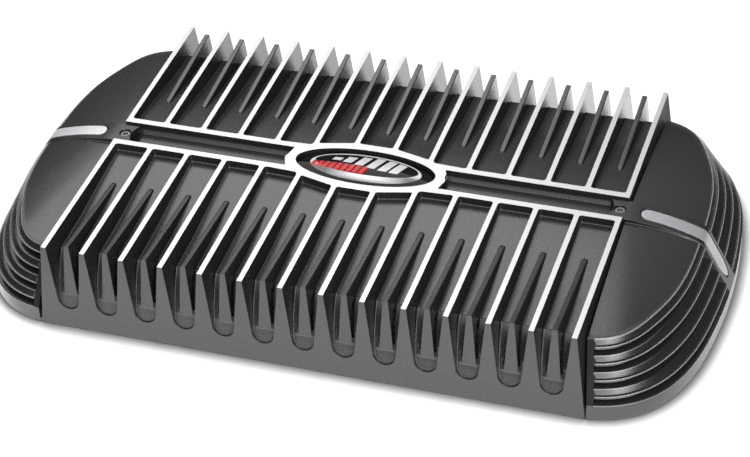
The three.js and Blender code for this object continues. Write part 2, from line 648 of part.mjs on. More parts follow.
// ---------------------------------------------------------------- speaker terminals (right end)
const SPEAKER_OUTER_X = 189;
const SPEAKER_SCREW_X = 179;
const SPEAKER_SCREW_Y = [-74, -59.3, -44.7, -30];
const BARRIER_Y = [-83.2, -66.6, -52, -37.4, -20.8];
const BARRIER_Z = [17, 26.4];
const SPEAKER_SCREW = [
  [0, 12.2], [1.6, 12.2], [2, 12.9], [2, 19], [4.2, 19], [4.2, 20.8], [3.4, 21.9], [0, 21.9],
];

let speakerBlock = terminalBody(SPEAKER_SPAN, SPEAKER_OUTER_X, 18.6);
for (const y of BARRIER_Y)
  speakerBlock = speakerBlock.add(
    box(TERMINAL_X, SPEAKER_OUTER_X, y - 0.8, y + 0.8, ...BARRIER_Z),
  );
speakerBlock = speakerBlock.add(box(TERMINAL_X, 167, ...SPEAKER_SPAN, ...BARRIER_Z));
SPEAKER_SCREW_Y.forEach((y, i) => {
  speakerBlock = speakerBlock.subtract(postZ(SPEAKER_SCREW_X, y, 11.4, 30, 2.5, 10));
  const slot = box(SPEAKER_SCREW_X - 3.4, SPEAKER_SCREW_X + 3.4, y - 0.5, y + 0.5, 21, 24);
  const screw = turnedZ(SPEAKER_SCREW, SPEAKER_SCREW_X, y, 10).subtract(slot);
  piece(addGroup(), `speaker_terminal_screw_${i + 1}`, screw, ZINC);
});
piece(core, "speaker_terminal_block", speakerBlock, BLACK_PLASTIC);

// ---------------------------------------------------------------- inputs (left end)
const RCA_Z = 17.2;
const RCA_BODY = [[-178, BOARD_TOP], [-150, BOARD_TOP], [-150, 25], [-177, 25], [-178, 24]];
const RCA_TUBE = [
  [2.9, -187], [4.15, -187], [4.15, -179.2], [5.8, -179.2], [5.8, -178.3], [4.3, -178.3],
  [4.3, -172.3], [2.9, -172.3], [2.9, -187],
];

let rcaBlock = runY(polygon(RCA_BODY), ...RCA_SPAN);
for (const [name, y] of [["right", 40], ["left", 60]]) {
  rcaBlock = rcaBlock.subtract(postX(-180, -172, y, RCA_Z, 4.7, 14));
  piece(core, `rca_socket_${name}`, turnedX(RCA_TUBE, y, RCA_Z, 14), BRASS);
}
piece(core, "rca_jack_block", rcaBlock, BLACK_PLASTIC);

// ---------------------------------------------------------------- controls (left end)
const CONTROL_BODY_X = -163.6; // outer face of the control bodies, behind the panel
const KNOB = [
  [0, -178], [4.2, -178], [4.8, -177.3], [5.2, -168], [5.2, -166.4], [3, -166.4],
  [3, -160.2], [0, -160.2],
];
const STATUS_LED = [
  [0, -168.6], [0.9, -168.3], [1.4, -167.4], [1.5, -166.6], [1.5, -163.4], [1.9, -163.4],
  [1.9, -162.4], [0, -162.4],
];

function knob(y) {
  const slot = box(-180, -176.8, y - 0.5, y + 0.5, CONTROL_Z, CONTROL_Z + 5);
  return turnedX(KNOB, y, CONTROL_Z, 16).subtract(slot);
}
const potentiometer = (y) =>
  box(CONTROL_BODY_X, -152, y - 6.5, y + 6.5, BOARD_TOP, CONTROL_Z + 6.6)
    .subtract(postX(-165, -159.6, y, CONTROL_Z, SHAFT_HOLE_R, 14));
for (const [name, y] of [["gain", GAIN_Y], ["bass", BASS_Y]]) {
  piece(addGroup(), `${name}_knob`, knob(y), BLACK_PLASTIC);
  piece(core, `${name}_potentiometer`, potentiometer(y), GREY_PAD);
}

const switchBody = box(CONTROL_BODY_X, -155, SLIDER_Y - 8, SLIDER_Y + 8, BOARD_TOP, 19.6);
piece(core, "crossover_switch", switchBody.subtract(sliderSlot(-165, -158.4)), ZINC);

// The slider has three grip grooves in its outer end.
function crossoverSlider() {
  let tab = box(-169.6, -158.8, SLIDER_Y - 2, SLIDER_Y + 2, SLIDER_Z - 1.4, SLIDER_Z + 1.4);
  for (const offset of [-1, 0, 1]) {
    const y = SLIDER_Y + offset;
    tab = tab.subtract(box(-171, -169.2, y - 0.2, y + 0.2, 10, 20));
  }
  return tab;
}
piece(addGroup(), "crossover_slider", crossoverSlider(), BLACK_PLASTIC);
piece(core, "status_led", turnedX(STATUS_LED, LED_Y, CONTROL_Z, 10), LED_BLUE);

export default amplifier;
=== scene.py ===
"""A finned heatsink casting with a louvred cap at each end and an oval medallion on top.

It lies along X, centred on the origin, with its foot at z = 0 and its front towards -Y.
Shapes are written in millimetres; materials, lights and the floor are in metres.
"""
import math

import bpy
import numpy as np
from mathutils import Matrix, Vector


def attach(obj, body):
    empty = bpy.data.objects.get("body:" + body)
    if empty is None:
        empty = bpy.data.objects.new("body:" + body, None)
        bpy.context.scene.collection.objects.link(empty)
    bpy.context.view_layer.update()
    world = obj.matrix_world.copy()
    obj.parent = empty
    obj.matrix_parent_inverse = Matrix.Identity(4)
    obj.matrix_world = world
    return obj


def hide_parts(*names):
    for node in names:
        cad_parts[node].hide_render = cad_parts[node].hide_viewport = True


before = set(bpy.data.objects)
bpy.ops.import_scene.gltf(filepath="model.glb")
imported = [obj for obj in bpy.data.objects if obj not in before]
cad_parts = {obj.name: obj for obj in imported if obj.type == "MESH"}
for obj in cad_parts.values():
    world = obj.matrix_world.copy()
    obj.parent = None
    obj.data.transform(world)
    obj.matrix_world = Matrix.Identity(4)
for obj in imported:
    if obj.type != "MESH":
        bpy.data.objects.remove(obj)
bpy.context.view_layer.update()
MM = 0.001

# ---------------------------------------------------------------- main dimensions (mm)
FIN_PITCH, FIN_COUNT, FIN_THICKNESS = 25.4, 14, 3.15
WALL_DRAFT = 0.108                       # how much a pocket wall leans per mm of height
TOP_Z = 57.7
FOOT_HALF_X, TOP_HALF_X = 172.6, 166.7
FOOT_HALF_Y, TOP_HALF_Y = 128.4, 124.9
RAIL_INNER_Y, RAIL_OUTER_Y = 9.75, 14.1  # the rails lie on both sides of the middle channel
CHANNEL_Z = 51.2
CUT_TOP = 64.0                           # cutters reach up to here, clear of the casting
CAP_SCREW_X = 163.2
SIDES = (-1, 1)


# ---------------------------------------------------------------- mesh helpers
# A shell is a pair: vertices in mm, and faces.
def new_object(name, verts, faces):
    mesh = bpy.data.meshes.new(name)
    mesh.from_pydata([tuple(float(c) * MM for c in v) for v in verts], [], [tuple(f) for f in faces])
    mesh.validate()
    mesh.update()
    return link_object(name, mesh)


def link_object(name, data):
    obj = bpy.data.objects.new(name, data)
    bpy.context.scene.collection.objects.link(obj)
    return obj


def loft(rings, apex=None):
    """Shell through closed rings; the last is closed flat or by a fan to apex. Faces point out."""
    count = len(rings[0])
    verts = [tuple(point) for ring in rings for point in ring]
    faces = []
    for r in range(len(rings) - 1):
        for i in range(count):
            j = (i + 1) % count
            low, high = r * count, (r + 1) * count
            faces.append((low + i, low + j, high + j, high + i))
    faces.append(tuple(range(count))[::-1])
    last = (len(rings) - 1) * count
    if apex is not None:
        verts.append(tuple(apex))
        for i in range(count):
            faces.append((last + i, last + (i + 1) % count, len(verts) - 1))
    else:
        faces.append(tuple(last + i for i in range(count)))
    points = np.array(verts)
    volume = 0.0
    for face in faces:
        for k in range(1, len(face) - 1):
            a, b, c = points[face[0]], points[face[k]], points[face[k + 1]]
            volume += np.dot(a, np.cross(b, c))
    if volume < 0:
        faces = [face[::-1] for face in faces]
    return verts, faces


def join(shells):
    verts, faces = [], []
    for shell_verts, shell_faces in shells:
        start = len(verts)
        verts += list(shell_verts)
        faces += [tuple(i + start for i in face) for face in shell_faces]
    return verts, faces


def boolean(obj, shell, operation):
    tool = new_object("tool", *shell)
    cut = obj.modifiers.new("cut", "BOOLEAN")
    cut.operation, cut.object, cut.solver = operation, tool, "MANIFOLD"
    bpy.context.view_layer.update()
    depsgraph = bpy.context.evaluated_depsgraph_get()
    mesh = bpy.data.meshes.new_from_object(obj.evaluated_get(depsgraph))
    obj.modifiers.clear()
    old_mesh, tool_mesh = obj.data, tool.data
    obj.data = mesh
    mesh.name = obj.name
    bpy.data.meshes.remove(old_mesh)
    bpy.data.objects.remove(tool)
    bpy.data.meshes.remove(tool_mesh)
    if not len(mesh.polygons):
        raise RuntimeError("a boolean left nothing of " + obj.name)


def minus(obj, shell):
    boolean(obj, shell, "DIFFERENCE")


def plus(obj, shell):
    boolean(obj, shell, "UNION")


def common(obj, shell):
    boolean(obj, shell, "INTERSECT")


def ellipse(half_x, half_y, x=0.0, y=0.0, count=144):
    angles = [2 * math.pi * i / count for i in range(count)]
    return [(x + half_x * math.cos(t), y + half_y * math.sin(t)) for t in angles]


def ring_at(outline, z):
    return [(x, y, z) for x, y in outline]


def prism_x(outline, x0, x1):
    return loft([[(x, y, z) for y, z in outline] for x in (x0, x1)])


def prism_y(outline, y0, y1):
    return loft([[(x, y, z) for x, z in outline] for y in (y0, y1)])


def prism_z(outline, z0, z1):
    return loft([ring_at(outline, z) for z in (z0, z1)])


def turned(profile, x, y, count):
    """A (radius, z) profile turned about the vertical line through x, y."""
    return loft([ring_at(ellipse(r, r, x, y, count), z) for r, z in profile])


def both_sides(half):
    """A half section of (offset, height) points with its mirror image before it."""
    return [(-a, b) for a, b in half] + [(a, b) for a, b in reversed(half)]


def mirrored_shell(shell):
    verts, faces = shell
    return [(-x, y, z) for x, y, z in verts], [face[::-1] for face in faces]


def mirrored_object(source, name):
    mesh = source.data.copy()
    mesh.name = name
    mesh.transform(Matrix.Scale(-1, 4, (1, 0, 0)))
    mesh.flip_normals()
    return link_object(name, mesh)


def smoothstep(t):
    t = np.clip(t, 0.0, 1.0)
    return t * t * (3 - 2 * t)


def round_in(distance, radius):
    """How far a quarter round still stands in from its tangent at this distance."""
    if distance >= radius:
        return 0.0
    return radius - math.sqrt(radius ** 2 - (radius - distance) ** 2)


def path_length(points):
    return np.r_[0, np.cumsum(np.hypot(*np.diff(points, axis=0).T))]


def unit_tangents(points):
    tangents = np.gradient(points, axis=0)
    return tangents / np.hypot(tangents[:, 0], tangents[:, 1])[:, None]


def finish_mesh(obj, sharp_angle, bevel=0.0):
    for face in obj.data.polygons:
        face.use_smooth = True
    obj.data.set_sharp_from_angle(angle=math.radians(sharp_angle))
    if bevel:
        edges = obj.modifiers.new("edges", "BEVEL")
        edges.width, edges.segments, edges.limit_method = bevel * MM, 2, "ANGLE"
        edges.angle_limit = math.radians(40)
        edges.miter_outer = "MITER_ARC"
        edges.harden_normals = False
        edges.use_clamp_overlap = True
    normals = obj.modifiers.new("normals", "WEIGHTED_NORMAL")
    normals.keep_sharp = True
    normals.weight = 60


def register(obj, rides, replaces=None):
    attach(obj, rides)
    if replaces:
        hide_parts(replaces)


# ---------------------------------------------------------------- shader node helpers
def set_inputs(tree, node, values):
    """Links or sets inputs, given by name or index."""
    for key, value in values.items():
        if isinstance(value, bpy.types.NodeSocket):
            tree.links.new(value, node.inputs[key])
        else:
            node.inputs[key].default_value = value


def add_node(tree, kind, inputs=None, **settings):
    node = tree.nodes.new(kind)
    for key, value in settings.items():
        setattr(node, key, value)
    set_inputs(tree, node, inputs or {})
    return node


def start_material(name):
    material = bpy.data.materials.new(name)
    material.use_nodes = True
    tree = material.node_tree
    tree.nodes.clear()
    output = tree.nodes.new("ShaderNodeOutputMaterial")
    shader = tree.nodes.new("ShaderNodeBsdfPrincipled")
    tree.links.new(shader.outputs[0], output.inputs[0])
    return material, tree, shader


def coords(tree, scale=(1, 1, 1), rotation=(0, 0, 0)):
    place = tree.nodes.new("ShaderNodeTexCoord").outputs["Object"]
    inputs = {"Vector": place, "Scale": scale, "Rotation": rotation}
    return add_node(tree, "ShaderNodeMapping", inputs).outputs["Vector"]


def noise(tree, vector, scale, detail, rough=0.55):
    inputs = {"Vector": vector, "Scale": scale, "Detail": detail, "Roughness": rough}
    return add_node(tree, "ShaderNodeTexNoise", inputs).outputs["Fac"]


def ramp(tree, factor, span, colors):
    node = add_node(tree, "ShaderNodeValToRGB", {"Fac": factor})
    for element, position, color in zip(node.color_ramp.elements, span, colors):
        element.position = position
        element.color = (*color, 1)
    return node.outputs["Color"]


def map_range(tree, value, span, to=(0.0, 1.0), smooth=False):
    inputs = {"Value": value, "From Min": span[0], "From Max": span[1],
              "To Min": to[0], "To Max": to[1]}
    kind = "SMOOTHSTEP" if smooth else "LINEAR"
    node = add_node(tree, "ShaderNodeMapRange", inputs, interpolation_type=kind)
    return node.outputs["Result"]


def noise_to(tree, factor, low, high):
    """Stretches the middle of a noise over low to high."""
    return map_range(tree, factor, span=(0.3, 0.7), to=(low, high))


def calculate(tree, operation, *values):
    inputs = dict(enumerate(values))
    return add_node(tree, "ShaderNodeMath", inputs, operation=operation).outputs[0]


def separate(tree, vector):
    return add_node(tree, "ShaderNodeSeparateXYZ", {0: vector}).outputs


def mix(tree, factor, first, second, blend="MIX"):
    """Mixes colours; each may be a socket or an RGB triple."""
    first, second = [(*c, 1) if isinstance(c, tuple) else c for c in (first, second)]
    inputs = {0: factor, 6: first, 7: second}
    node = add_node(tree, "ShaderNodeMix", inputs, data_type="RGBA", blend_type=blend)
    return node.outputs[2]


def bump(tree, shader, layers, eased=0.0):
    """Chains bumps of (height, strength, distance) over edges eased to this radius."""
    normal = None
    if eased:
        node = add_node(tree, "ShaderNodeBevel", {"Radius": eased}, samples=6)
        normal = node.outputs[0]
    for height, strength, distance in layers:
        inputs = {"Height": height, "Strength": strength, "Distance": distance}
        if normal is not None:
            inputs["Normal"] = normal
        normal = add_node(tree, "ShaderNodeBump", inputs).outputs["Normal"]
    tree.links.new(normal, shader.inputs["Normal"])


def scaled(color, share):
    return tuple(c * share for c in color)


# ---------------------------------------------------------------- materials
def coat_material(name, tint=1.0, grain=1.0, eased=0.00045, highlight_fade_span=None):
    """Charcoal coat; tint scales its colour. Over highlight_fade_span, in |x|, the tint falls back
    to the plain coat, fading out a painted highlight.
    """
    material, tree, shader = start_material(name)
    place = coords(tree)
    fine = noise(tree, place, scale=1500, detail=2.0, rough=0.6)
    medium = noise(tree, place, scale=620, detail=3.0, rough=0.6)
    broad = noise(tree, place, scale=14, detail=3.0, rough=0.5)
    dark, light = [(c * tint, c * tint, c * tint * 1.04) for c in (0.0065, 0.0135)]
    color = ramp(tree, fine, span=(0.3, 0.72), colors=(dark, light))
    patches = noise_to(tree, broad, low=0.0, high=0.4)
    color = mix(tree, patches, color, scaled((0.011, 0.0107, 0.011), tint))
    # a painted highlight fades back to the plain coat over this span of |x|
    if highlight_fade_span:
        size = calculate(tree, "ABSOLUTE", separate(tree, place)["X"])
        far = map_range(tree, size, highlight_fade_span, smooth=True)
        color = mix(tree, far, color, (0.0095, 0.0095, 0.0098))
    set_inputs(tree, shader, {"Base Color": color, "Metallic": 0.0, "IOR": 1.5,
                              "Roughness": noise_to(tree, medium, low=0.22, high=0.30)})
    bump(tree, shader, [(medium, 0.17 * grain, 0.00010), (fine, 0.26 * grain, 0.00004)], eased)
    return material


# direction of the tool lines: (noise scale on each axis, turn about Z)
LINE_DIRECTIONS = {
    "x": ((60, 2600, 2600), 0),
    "y": ((2600, 60, 2600), 0),
    "z": ((2600, 2600, 60), 0),
    "diagonal": ((300, 2600, 2600), 0.55),
}


def machined_material(name, color, rough, along, metallic=1.0, contrast=0.86):
    """Metal with fine tool lines; contrast is the brightness of the dark lines."""
    material, tree, shader = start_material(name)
    scale, turn = LINE_DIRECTIONS[along]
    lines_place = coords(tree, scale=scale, rotation=(0, 0, turn))
    lines = noise(tree, lines_place, scale=1.0, detail=3.0, rough=0.6)
    broad = noise(tree, coords(tree), scale=30, detail=3.0, rough=0.5)
    shade = ramp(tree, lines, span=(0.3, 0.7), colors=(scaled(color, contrast), color))
    shade = mix(tree, noise_to(tree, broad, low=0.0, high=0.3), shade, scaled(color, 0.92))
    set_inputs(tree, shader, {"Base Color": shade, "Metallic": metallic,
                              "Roughness": noise_to(tree, lines, *rough)})
    bump(tree, shader, [(lines, 0.22, 0.00004)])
    return material


def plastic_material(name, color, rough, grain, strength, metallic=0.0, spec=0.5):
    """Speckled surface: grain is the speckle's scale, strength its relief."""
    material, tree, shader = start_material(name)
    place = coords(tree)
    fine = noise(tree, place, scale=grain, detail=2.0, rough=0.6)
    broad = noise(tree, place, scale=60, detail=3.0, rough=0.5)
    speckle = (scaled(color, 0.75), scaled(color, 1.25))
    shade = ramp(tree, fine, span=(0.3, 0.7), colors=speckle)
    shade = mix(tree, noise_to(tree, broad, low=0.0, high=0.3), shade, scaled(color, 0.8))
    set_inputs(tree, shader, {"Base Color": shade, "Metallic": metallic,
                              "Roughness": noise_to(tree, broad, *rough),
                              "Specular IOR Level": spec})
    bump(tree, shader, [(fine, strength, 0.00005)])
    return material


def board_material(name):
    """Green board with a brick pattern seen from above."""
    material, tree, shader = start_material(name)
    bricks = add_node(tree, "ShaderNodeTexBrick", {
        "Vector": coords(tree, scale=(1, 1, 0)),
        "Scale": 120,
        "Mortar Size": 0.05,
        "Color1": (0.012, 0.085, 0.03, 1),
        "Color2": (0.018, 0.11, 0.04, 1),
        "Mortar": (0.03, 0.19, 0.07, 1),
    })
    mottle = noise(tree, coords(tree), scale=400, detail=3.0)
    patches = noise_to(tree, mottle, low=0.0, high=0.35)
    color = mix(tree, patches, bricks.outputs["Color"], (0.01, 0.06, 0.02))
    set_inputs(tree, shader, {"Base Color": color,
                              "Roughness": noise_to(tree, mottle, low=0.25, high=0.4)})
    bump(tree, shader, [(bricks.outputs["Fac"], 0.3, 0.00006)])
    return material


def winding_material(name):
    """Copper with diagonal bands for the turns of wire."""
    material, tree, shader = start_material(name)
    inputs = {"Vector": coords(tree), "Scale": 240, "Distortion": 1.5}
    turns = add_node(tree, "ShaderNodeTexWave", inputs,
                     wave_type="BANDS", bands_direction="DIAGONAL").outputs["Fac"]
    copper = ((0.16, 0.045, 0.015), (0.72, 0.30, 0.12))
    color = ramp(tree, turns, span=(0.1, 0.8), colors=copper)
    set_inputs(tree, shader, {"Base Color": color, "Metallic": 0.85, "Roughness": 0.3})
    bump(tree, shader, [(turns, 0.7, 0.0004)])
    return material


def crescent_material(name):
    """Silver print with a painted reflection: painted down to gray as shade at the front edge and
    the ends of the crescent.
    """
    material, tree, shader = start_material(name)
    axes = separate(tree, tree.nodes.new("ShaderNodeTexCoord").outputs["Object"])
    # painted reflection: the silver is painted gray towards the front edge and away from a painted
    # highlight at x = 3 mm, while the upper arms stay silver
    down = map_range(tree, axes["Y"], span=(-0.0126, -0.0088))
    painted_highlight_x = 0.003
    from_middle = calculate(tree, "SUBTRACT", axes["X"], painted_highlight_x)
    distance = calculate(tree, "ABSOLUTE", from_middle)
    side = map_range(tree, distance, span=(0.027, 0.004))
    lower = calculate(tree, "MULTIPLY", down, side)
    upper = map_range(tree, axes["Y"], span=(-0.0035, 0.0005))
    silver = calculate(tree, "MAXIMUM", lower, upper)
    fleck = noise(tree, coords(tree), scale=900, detail=3.0, rough=0.6)
    painted_shade_to_silver = ((0.035, 0.035, 0.037), (0.46, 0.46, 0.47))
    color = ramp(tree, silver, span=(0.0, 1.0), colors=painted_shade_to_silver)
    color = mix(tree, noise_to(tree, fleck, low=0.0, high=0.22), color, (0.22, 0.22, 0.23))
    set_inputs(tree, shader, {"Base Color": color, "Metallic": 0.35,
                              "Roughness": noise_to(tree, fleck, low=0.22, high=0.36)})
    bump(tree, shader, [(fleck, 0.08, 0.00003)])
    return material


MATERIALS = {
    "coat": coat_material("charcoal_coat"),
    "coat_cap": coat_material("charcoal_coat_cap", tint=0.95, grain=0.5, eased=0.0003),
    # a copy of the coat 3.2 times brighter: painted light on the sloping foot of the pockets on the
    # long sides
    "coat_painted_light_slot_foot": coat_material("charcoal_coat_painted_light_foot_of_slot", tint=3.2, grain=1.2),
    # copies of the coat 13 and 10 times brighter: painted highlights on the caps' louvre beads, lip
    # tops and roof edge; the second fades out round the curve
    "coat_painted_highlight": coat_material("charcoal_coat_painted_edge_highlight", tint=13.0, grain=0.4, eased=0.0),
    "coat_painted_highlight_fading": coat_material("charcoal_coat_painted_edge_highlight_fading", tint=10.0, grain=0.4,
                                      eased=0.0, highlight_fade_span=(0.190, 0.210)),
    "coat_side": plastic_material("charcoal_coat_side", color=(0.009, 0.009, 0.0095),
                                  rough=(0.55, 0.7), grain=1500, strength=0.2, spec=0.12),
    "bright": machined_material("machined_aluminium", color=(0.56, 0.56, 0.565),
                                rough=(0.36, 0.48), along="diagonal"),
    # the two strips are one brushed finish: this right copy is painted darker as shade, the left
    # copy lighter as painted light
    "strip": machined_material("brushed_strip", color=(0.45, 0.455, 0.465), rough=(0.38, 0.50),
                               along="x", metallic=0.7, contrast=0.66),
    "strip_left": machined_material("brushed_strip_left_painted_lighter", color=(0.64, 0.645, 0.655),
                                    rough=(0.38, 0.50), along="x", metallic=0.7, contrast=0.74),
    "trim": crescent_material("silvered_crescent_painted_reflection"),
    "silver": machined_material("silvered_motif", color=(0.46, 0.46, 0.465), rough=(0.30, 0.42),
                                along="y", metallic=0.35),
    "gloss": plastic_material("gloss_black", color=(0.003, 0.003, 0.0034), rough=(0.03, 0.06),
                              grain=300, strength=0.02, spec=0.08),
    "red": plastic_material("red_enamel", color=(0.40, 0.006, 0.008), rough=(0.10, 0.18),
                            grain=500, strength=0.05, spec=0.12),
    "black_steel": plastic_material("black_coated_steel", color=(0.022, 0.022, 0.024),
                                    rough=(0.34, 0.48), grain=1500, strength=0.4, metallic=0.3),
    "zinc": machined_material("zinc_plated_steel", color=(0.62, 0.61, 0.56), rough=(0.25, 0.4),
                              along="z"),
    # zinc screw, its colour painted dark as the shade in its counterbore
    "cap_screw": machined_material("zinc_screw_painted_shade", color=(0.17, 0.17, 0.172),
                                   rough=(0.36, 0.5), along="z"),
    "screw": machined_material("black_oxide_screw", color=(0.10, 0.10, 0.105),
                               rough=(0.3, 0.42), along="z"),
    "plastic": plastic_material("moulded_black_plastic", color=(0.018, 0.018, 0.02),
                                rough=(0.38, 0.52), grain=1400, strength=0.3),
    "board": board_material("solder_mask"),
    "copper": winding_material("copper_winding"),
    "sleeve": plastic_material("capacitor_sleeve", color=(0.02, 0.035, 0.12),
                               rough=(0.25, 0.38), grain=700, strength=0.15),
    "brass": machined_material("gold_plated_brass", color=(0.85, 0.62, 0.26),
                               rough=(0.16, 0.28), along="z"),
    "pad": plastic_material("thermal_pad", color=(0.28, 0.3, 0.32), rough=(0.7, 0.85),
                            grain=1200, strength=0.3),
    "led": plastic_material("led_lens", color=(0.03, 0.12, 0.5), rough=(0.05, 0.1),
                            grain=500, strength=0.02),
}


def dress(obj, *keys):
    obj.data.materials.clear()
    for key in keys:
        obj.data.materials.append(MATERIALS[key])


# ---------------------------------------------------------------- heatsink
# (y, z) of the pocket floor between the fins, from the rail outwards
FLOOR = np.array([
    (10, 52.7), (14.1, 52.5), (33.6, 51.2), (49, 49.8), (63.4, 48.2), (76.3, 46.9),
    (90.8, 46.2), (101.7, 45.8), (106.7, 45.6)])
# (y, z) where that floor turns down to the foot of the long side
RECESS = np.array([
    (106.7, 45.6), (107.1, 45.55), (107.5, 45.4), (107.9, 45.15), (108.25, 44.85), (111, 42.0),
    (114.7, 37.2), (119.5, 29.4), (121.0, 25.6), (123.4, 20.4), (126.0, 14.4), (131.0, 3.0)])
# (y, z) of a short fin's top
SHORT_FIN_TOP = np.array([
    (45.2, 50.3), (45.5, 50.75), (46.1, 51.0), (47.2, 51.15), (60, 52.0), (75, 53.0),
    (90, 54.1), (105, 55.2), (119.6, 56.5)])
# (y, half thickness) of a short fin at its top, from its inner nose
SHORT_FIN_NOSE = np.array([
    (45.2, 0.5), (45.4, 0.95), (45.7, 1.2), (46.1, 1.4), (46.6, 1.5), (47.4, 1.58),
    (49.5, 1.62), (120, 1.65)])
SHORT_FIN_OUTER_TOP = 56.5
SHORT_FIN_DRAFT = 0.08
SLOT_END_RADIUS, SLOT_END_Z = 7.1, 21.0  # the round lower end of a pocket on the long side
POCKET_FILLET = 1.05


def floor_z(y):
    table = FLOOR if y <= FLOOR[-1, 0] else RECESS
    return float(np.interp(y, table[:, 0], table[:, 1]))


def recess_y(z):
    rising = RECESS[::-1]
    return float(np.interp(z, rising[:, 1], rising[:, 0]))


def pocket_half_width(z):
    return (FIN_PITCH - FIN_THICKNESS) / 2 - WALL_DRAFT * (TOP_Z - z)


def rail_edge(x):
    """Outer edge of the rail, which bows outwards round the medallion."""
    if abs(x) >= 70:
        return RAIL_OUTER_Y
    bow = 23.4 * math.sqrt(max(0.0, 1 - (x / 53.0) ** 2))
    return 0.5 * (RAIL_OUTER_Y + bow + math.sqrt((RAIL_OUTER_Y - bow) ** 2 + 1.2))


def pocket_half_section(y):
    """(half width, z) of a pocket at y, from above the casting down to its floor."""
    inward = y - RAIL_OUTER_Y
    floor = floor_z(y) + round_in(inward, 1.0)
    shrink = round_in(inward, 1.8)
    radius = POCKET_FILLET
    quarter = [i / 5 * math.pi / 2 for i in range(6)]

    def wall(z):
        return pocket_half_width(z) - shrink

    if floor >= SLOT_END_Z + 0.2:
        heights = [floor + radius + 0.012 * (7 - i) for i in range(7)]
        lower_wall = [(wall(z), z) for z in heights]
        wall_x = wall(floor + radius)
        fillet = [(wall_x - radius + radius * math.cos(t), floor + radius - radius * math.sin(t))
                  for t in quarter]
    else:
        # the wall follows the round end of the slot where the floor lies below it
        end_width = pocket_half_width(SLOT_END_Z)
        end_angle = math.asin(min(1.0, (SLOT_END_Z - floor) / SLOT_END_RADIUS))
        angles = [max(0.02, end_angle - 0.11) * i / 6 for i in range(7)]
        lower_wall = [(end_width * math.cos(t), SLOT_END_Z - SLOT_END_RADIUS * math.sin(t))
                      for t in angles]
        wall_x, wall_z = lower_wall[-1]
        width = min(radius, max(0.02, wall_x - 0.3))
        height = max(0.004, wall_z - max(floor, SLOT_END_Z - SLOT_END_RADIUS))
        fillet = [(wall_x - 0.004 - width * (1 - math.cos(t)), wall_z - height * math.sin(t))
                  for t in quarter]
    return [(wall(CUT_TOP), CUT_TOP), (wall(TOP_Z), TOP_Z)] + lower_wall + fillet


def pocket(x_centre, side):
    """Cutter for the space between two fins."""
    ys = [RAIL_OUTER_Y + d for d in (0.0, 0.08, 0.25, 0.5, 0.85, 1.3, 1.8, 3.0)]
    ys += [*np.linspace(20, 106.0, 15), 106.7, 107.1, 107.5, 107.9, 108.25]
    ys += [*np.linspace(110, 118.5, 6), *np.linspace(119.5, 128.5, 16), 130, 133]
    rings = []
    for y in ys:
        follow = 1 - float(smoothstep((y - RAIL_OUTER_Y) / 30.0))
        ring = []
        for x, z in both_sides(pocket_half_section(y)):
            shift = (rail_edge(x_centre + x) - RAIL_OUTER_Y) * follow
            ring.append((x_centre + x, side * (y + shift), z))
        rings.append(ring)
    return loft(rings)


def grooves(x_centre, side):
    """The two narrow grooves beside the foot of a short fin."""
    shells = []
    for hand in SIDES:
        rings = []
        for z in (46.5, 44, 40, 36, 32, 28, 25.2):
            width = float(np.interp(z, [24, 30, 38, 46], [1.35, 1.15, 0.8, 0.4]))
            outer_y = recess_y(z) + 1.2
            inner_y = recess_y(z) - float(np.interp(z, [24, 30, 46], [3.4, 3.2, 1.6]))
            fin_half = 1.65 + SHORT_FIN_DRAFT * (SHORT_FIN_OUTER_TOP - z)
            near, far = fin_half - 0.4, fin_half + width
            corners = ((near, inner_y), (far, inner_y + 0.5), (far, outer_y), (near, outer_y))
            rings.append([(x_centre + hand * x, side * y, z) for x, y in corners])
        shells.append(loft(rings))
    return shells


def short_fin_half_section(y):
    """(half thickness, z) of a short fin at y, from its top down into the floor."""
    top = float(np.interp(y, SHORT_FIN_TOP[:, 0], SHORT_FIN_TOP[:, 1]))
    half = float(np.interp(y, SHORT_FIN_NOSE[:, 0], SHORT_FIN_NOSE[:, 1]))
    floor = floor_z(y)
    flare = 0.55 * float(np.interp(y, [45, 100, 107.6, 112], [1, 1, 0.6, 0]))
    flare *= min(1.0, max(0.05, (top - floor) / 1.2))
    root = min(floor - 1.0, 46.0) if y < 104 else float(np.interp(y, [104, 119.6], [43, 20]))
    edge = min(0.42, 0.4 * max(0.1, top - floor))

    def wall(z):
        return half + SHORT_FIN_DRAFT * (top - z)

    section = [(half - edge, top), (half - 0.62 * edge, top - 0.08 * edge),
               (half - 0.28 * edge, top - 0.30 * edge), (half - 0.07 * edge, top - 0.62 * edge),
               (wall(top - edge), top - edge)]
    flare_top = max(floor + 0.9 * flare, root + 0.2)
    if flare > 0.01 and flare_top < top - edge - 0.05:
        return section + [(wall(flare_top), flare_top),
                          (wall(flare_top) + 0.2 * flare, floor + 0.35 * flare),
                          (wall(floor) + 0.75 * flare, floor + 0.02),
                          (wall(floor) + 0.78 * flare, root)]
    # no room for the flare: the same number of points, close together on a plain wall
    start = top - edge - 0.02
    return section + [(wall(z), z) for z in (start, start - 0.01, start - 0.02, root)]


def short_fin(x_centre, side):
    ys = [*SHORT_FIN_NOSE[:-1, 0], 53, *np.linspace(58, 106, 13)]
    ys += [107.6, 108.5, 111, 114, 117, 119.6]
    rings = []
    for y in ys:
        tilt = max(0.0, (y - 108.0) / 11.6) * 0.092
        rings.append([(x_centre + x, side * (y + tilt * (SHORT_FIN_OUTER_TOP - z)), z)
                      for x, z in both_sides(short_fin_half_section(y))])
    return loft(rings)


def channel_inner_x(y):
    """The channel's inner end, hollowed round the medallion."""
    x = 50.2 + 2.6 * max(0.0, 1 - (y / 7.4) ** 2)
    return x - 0.35 * smoothstep((abs(y) - 6.4) / 1.2) + 0.5 * smoothstep((abs(y) - 7.8) / 1.9)


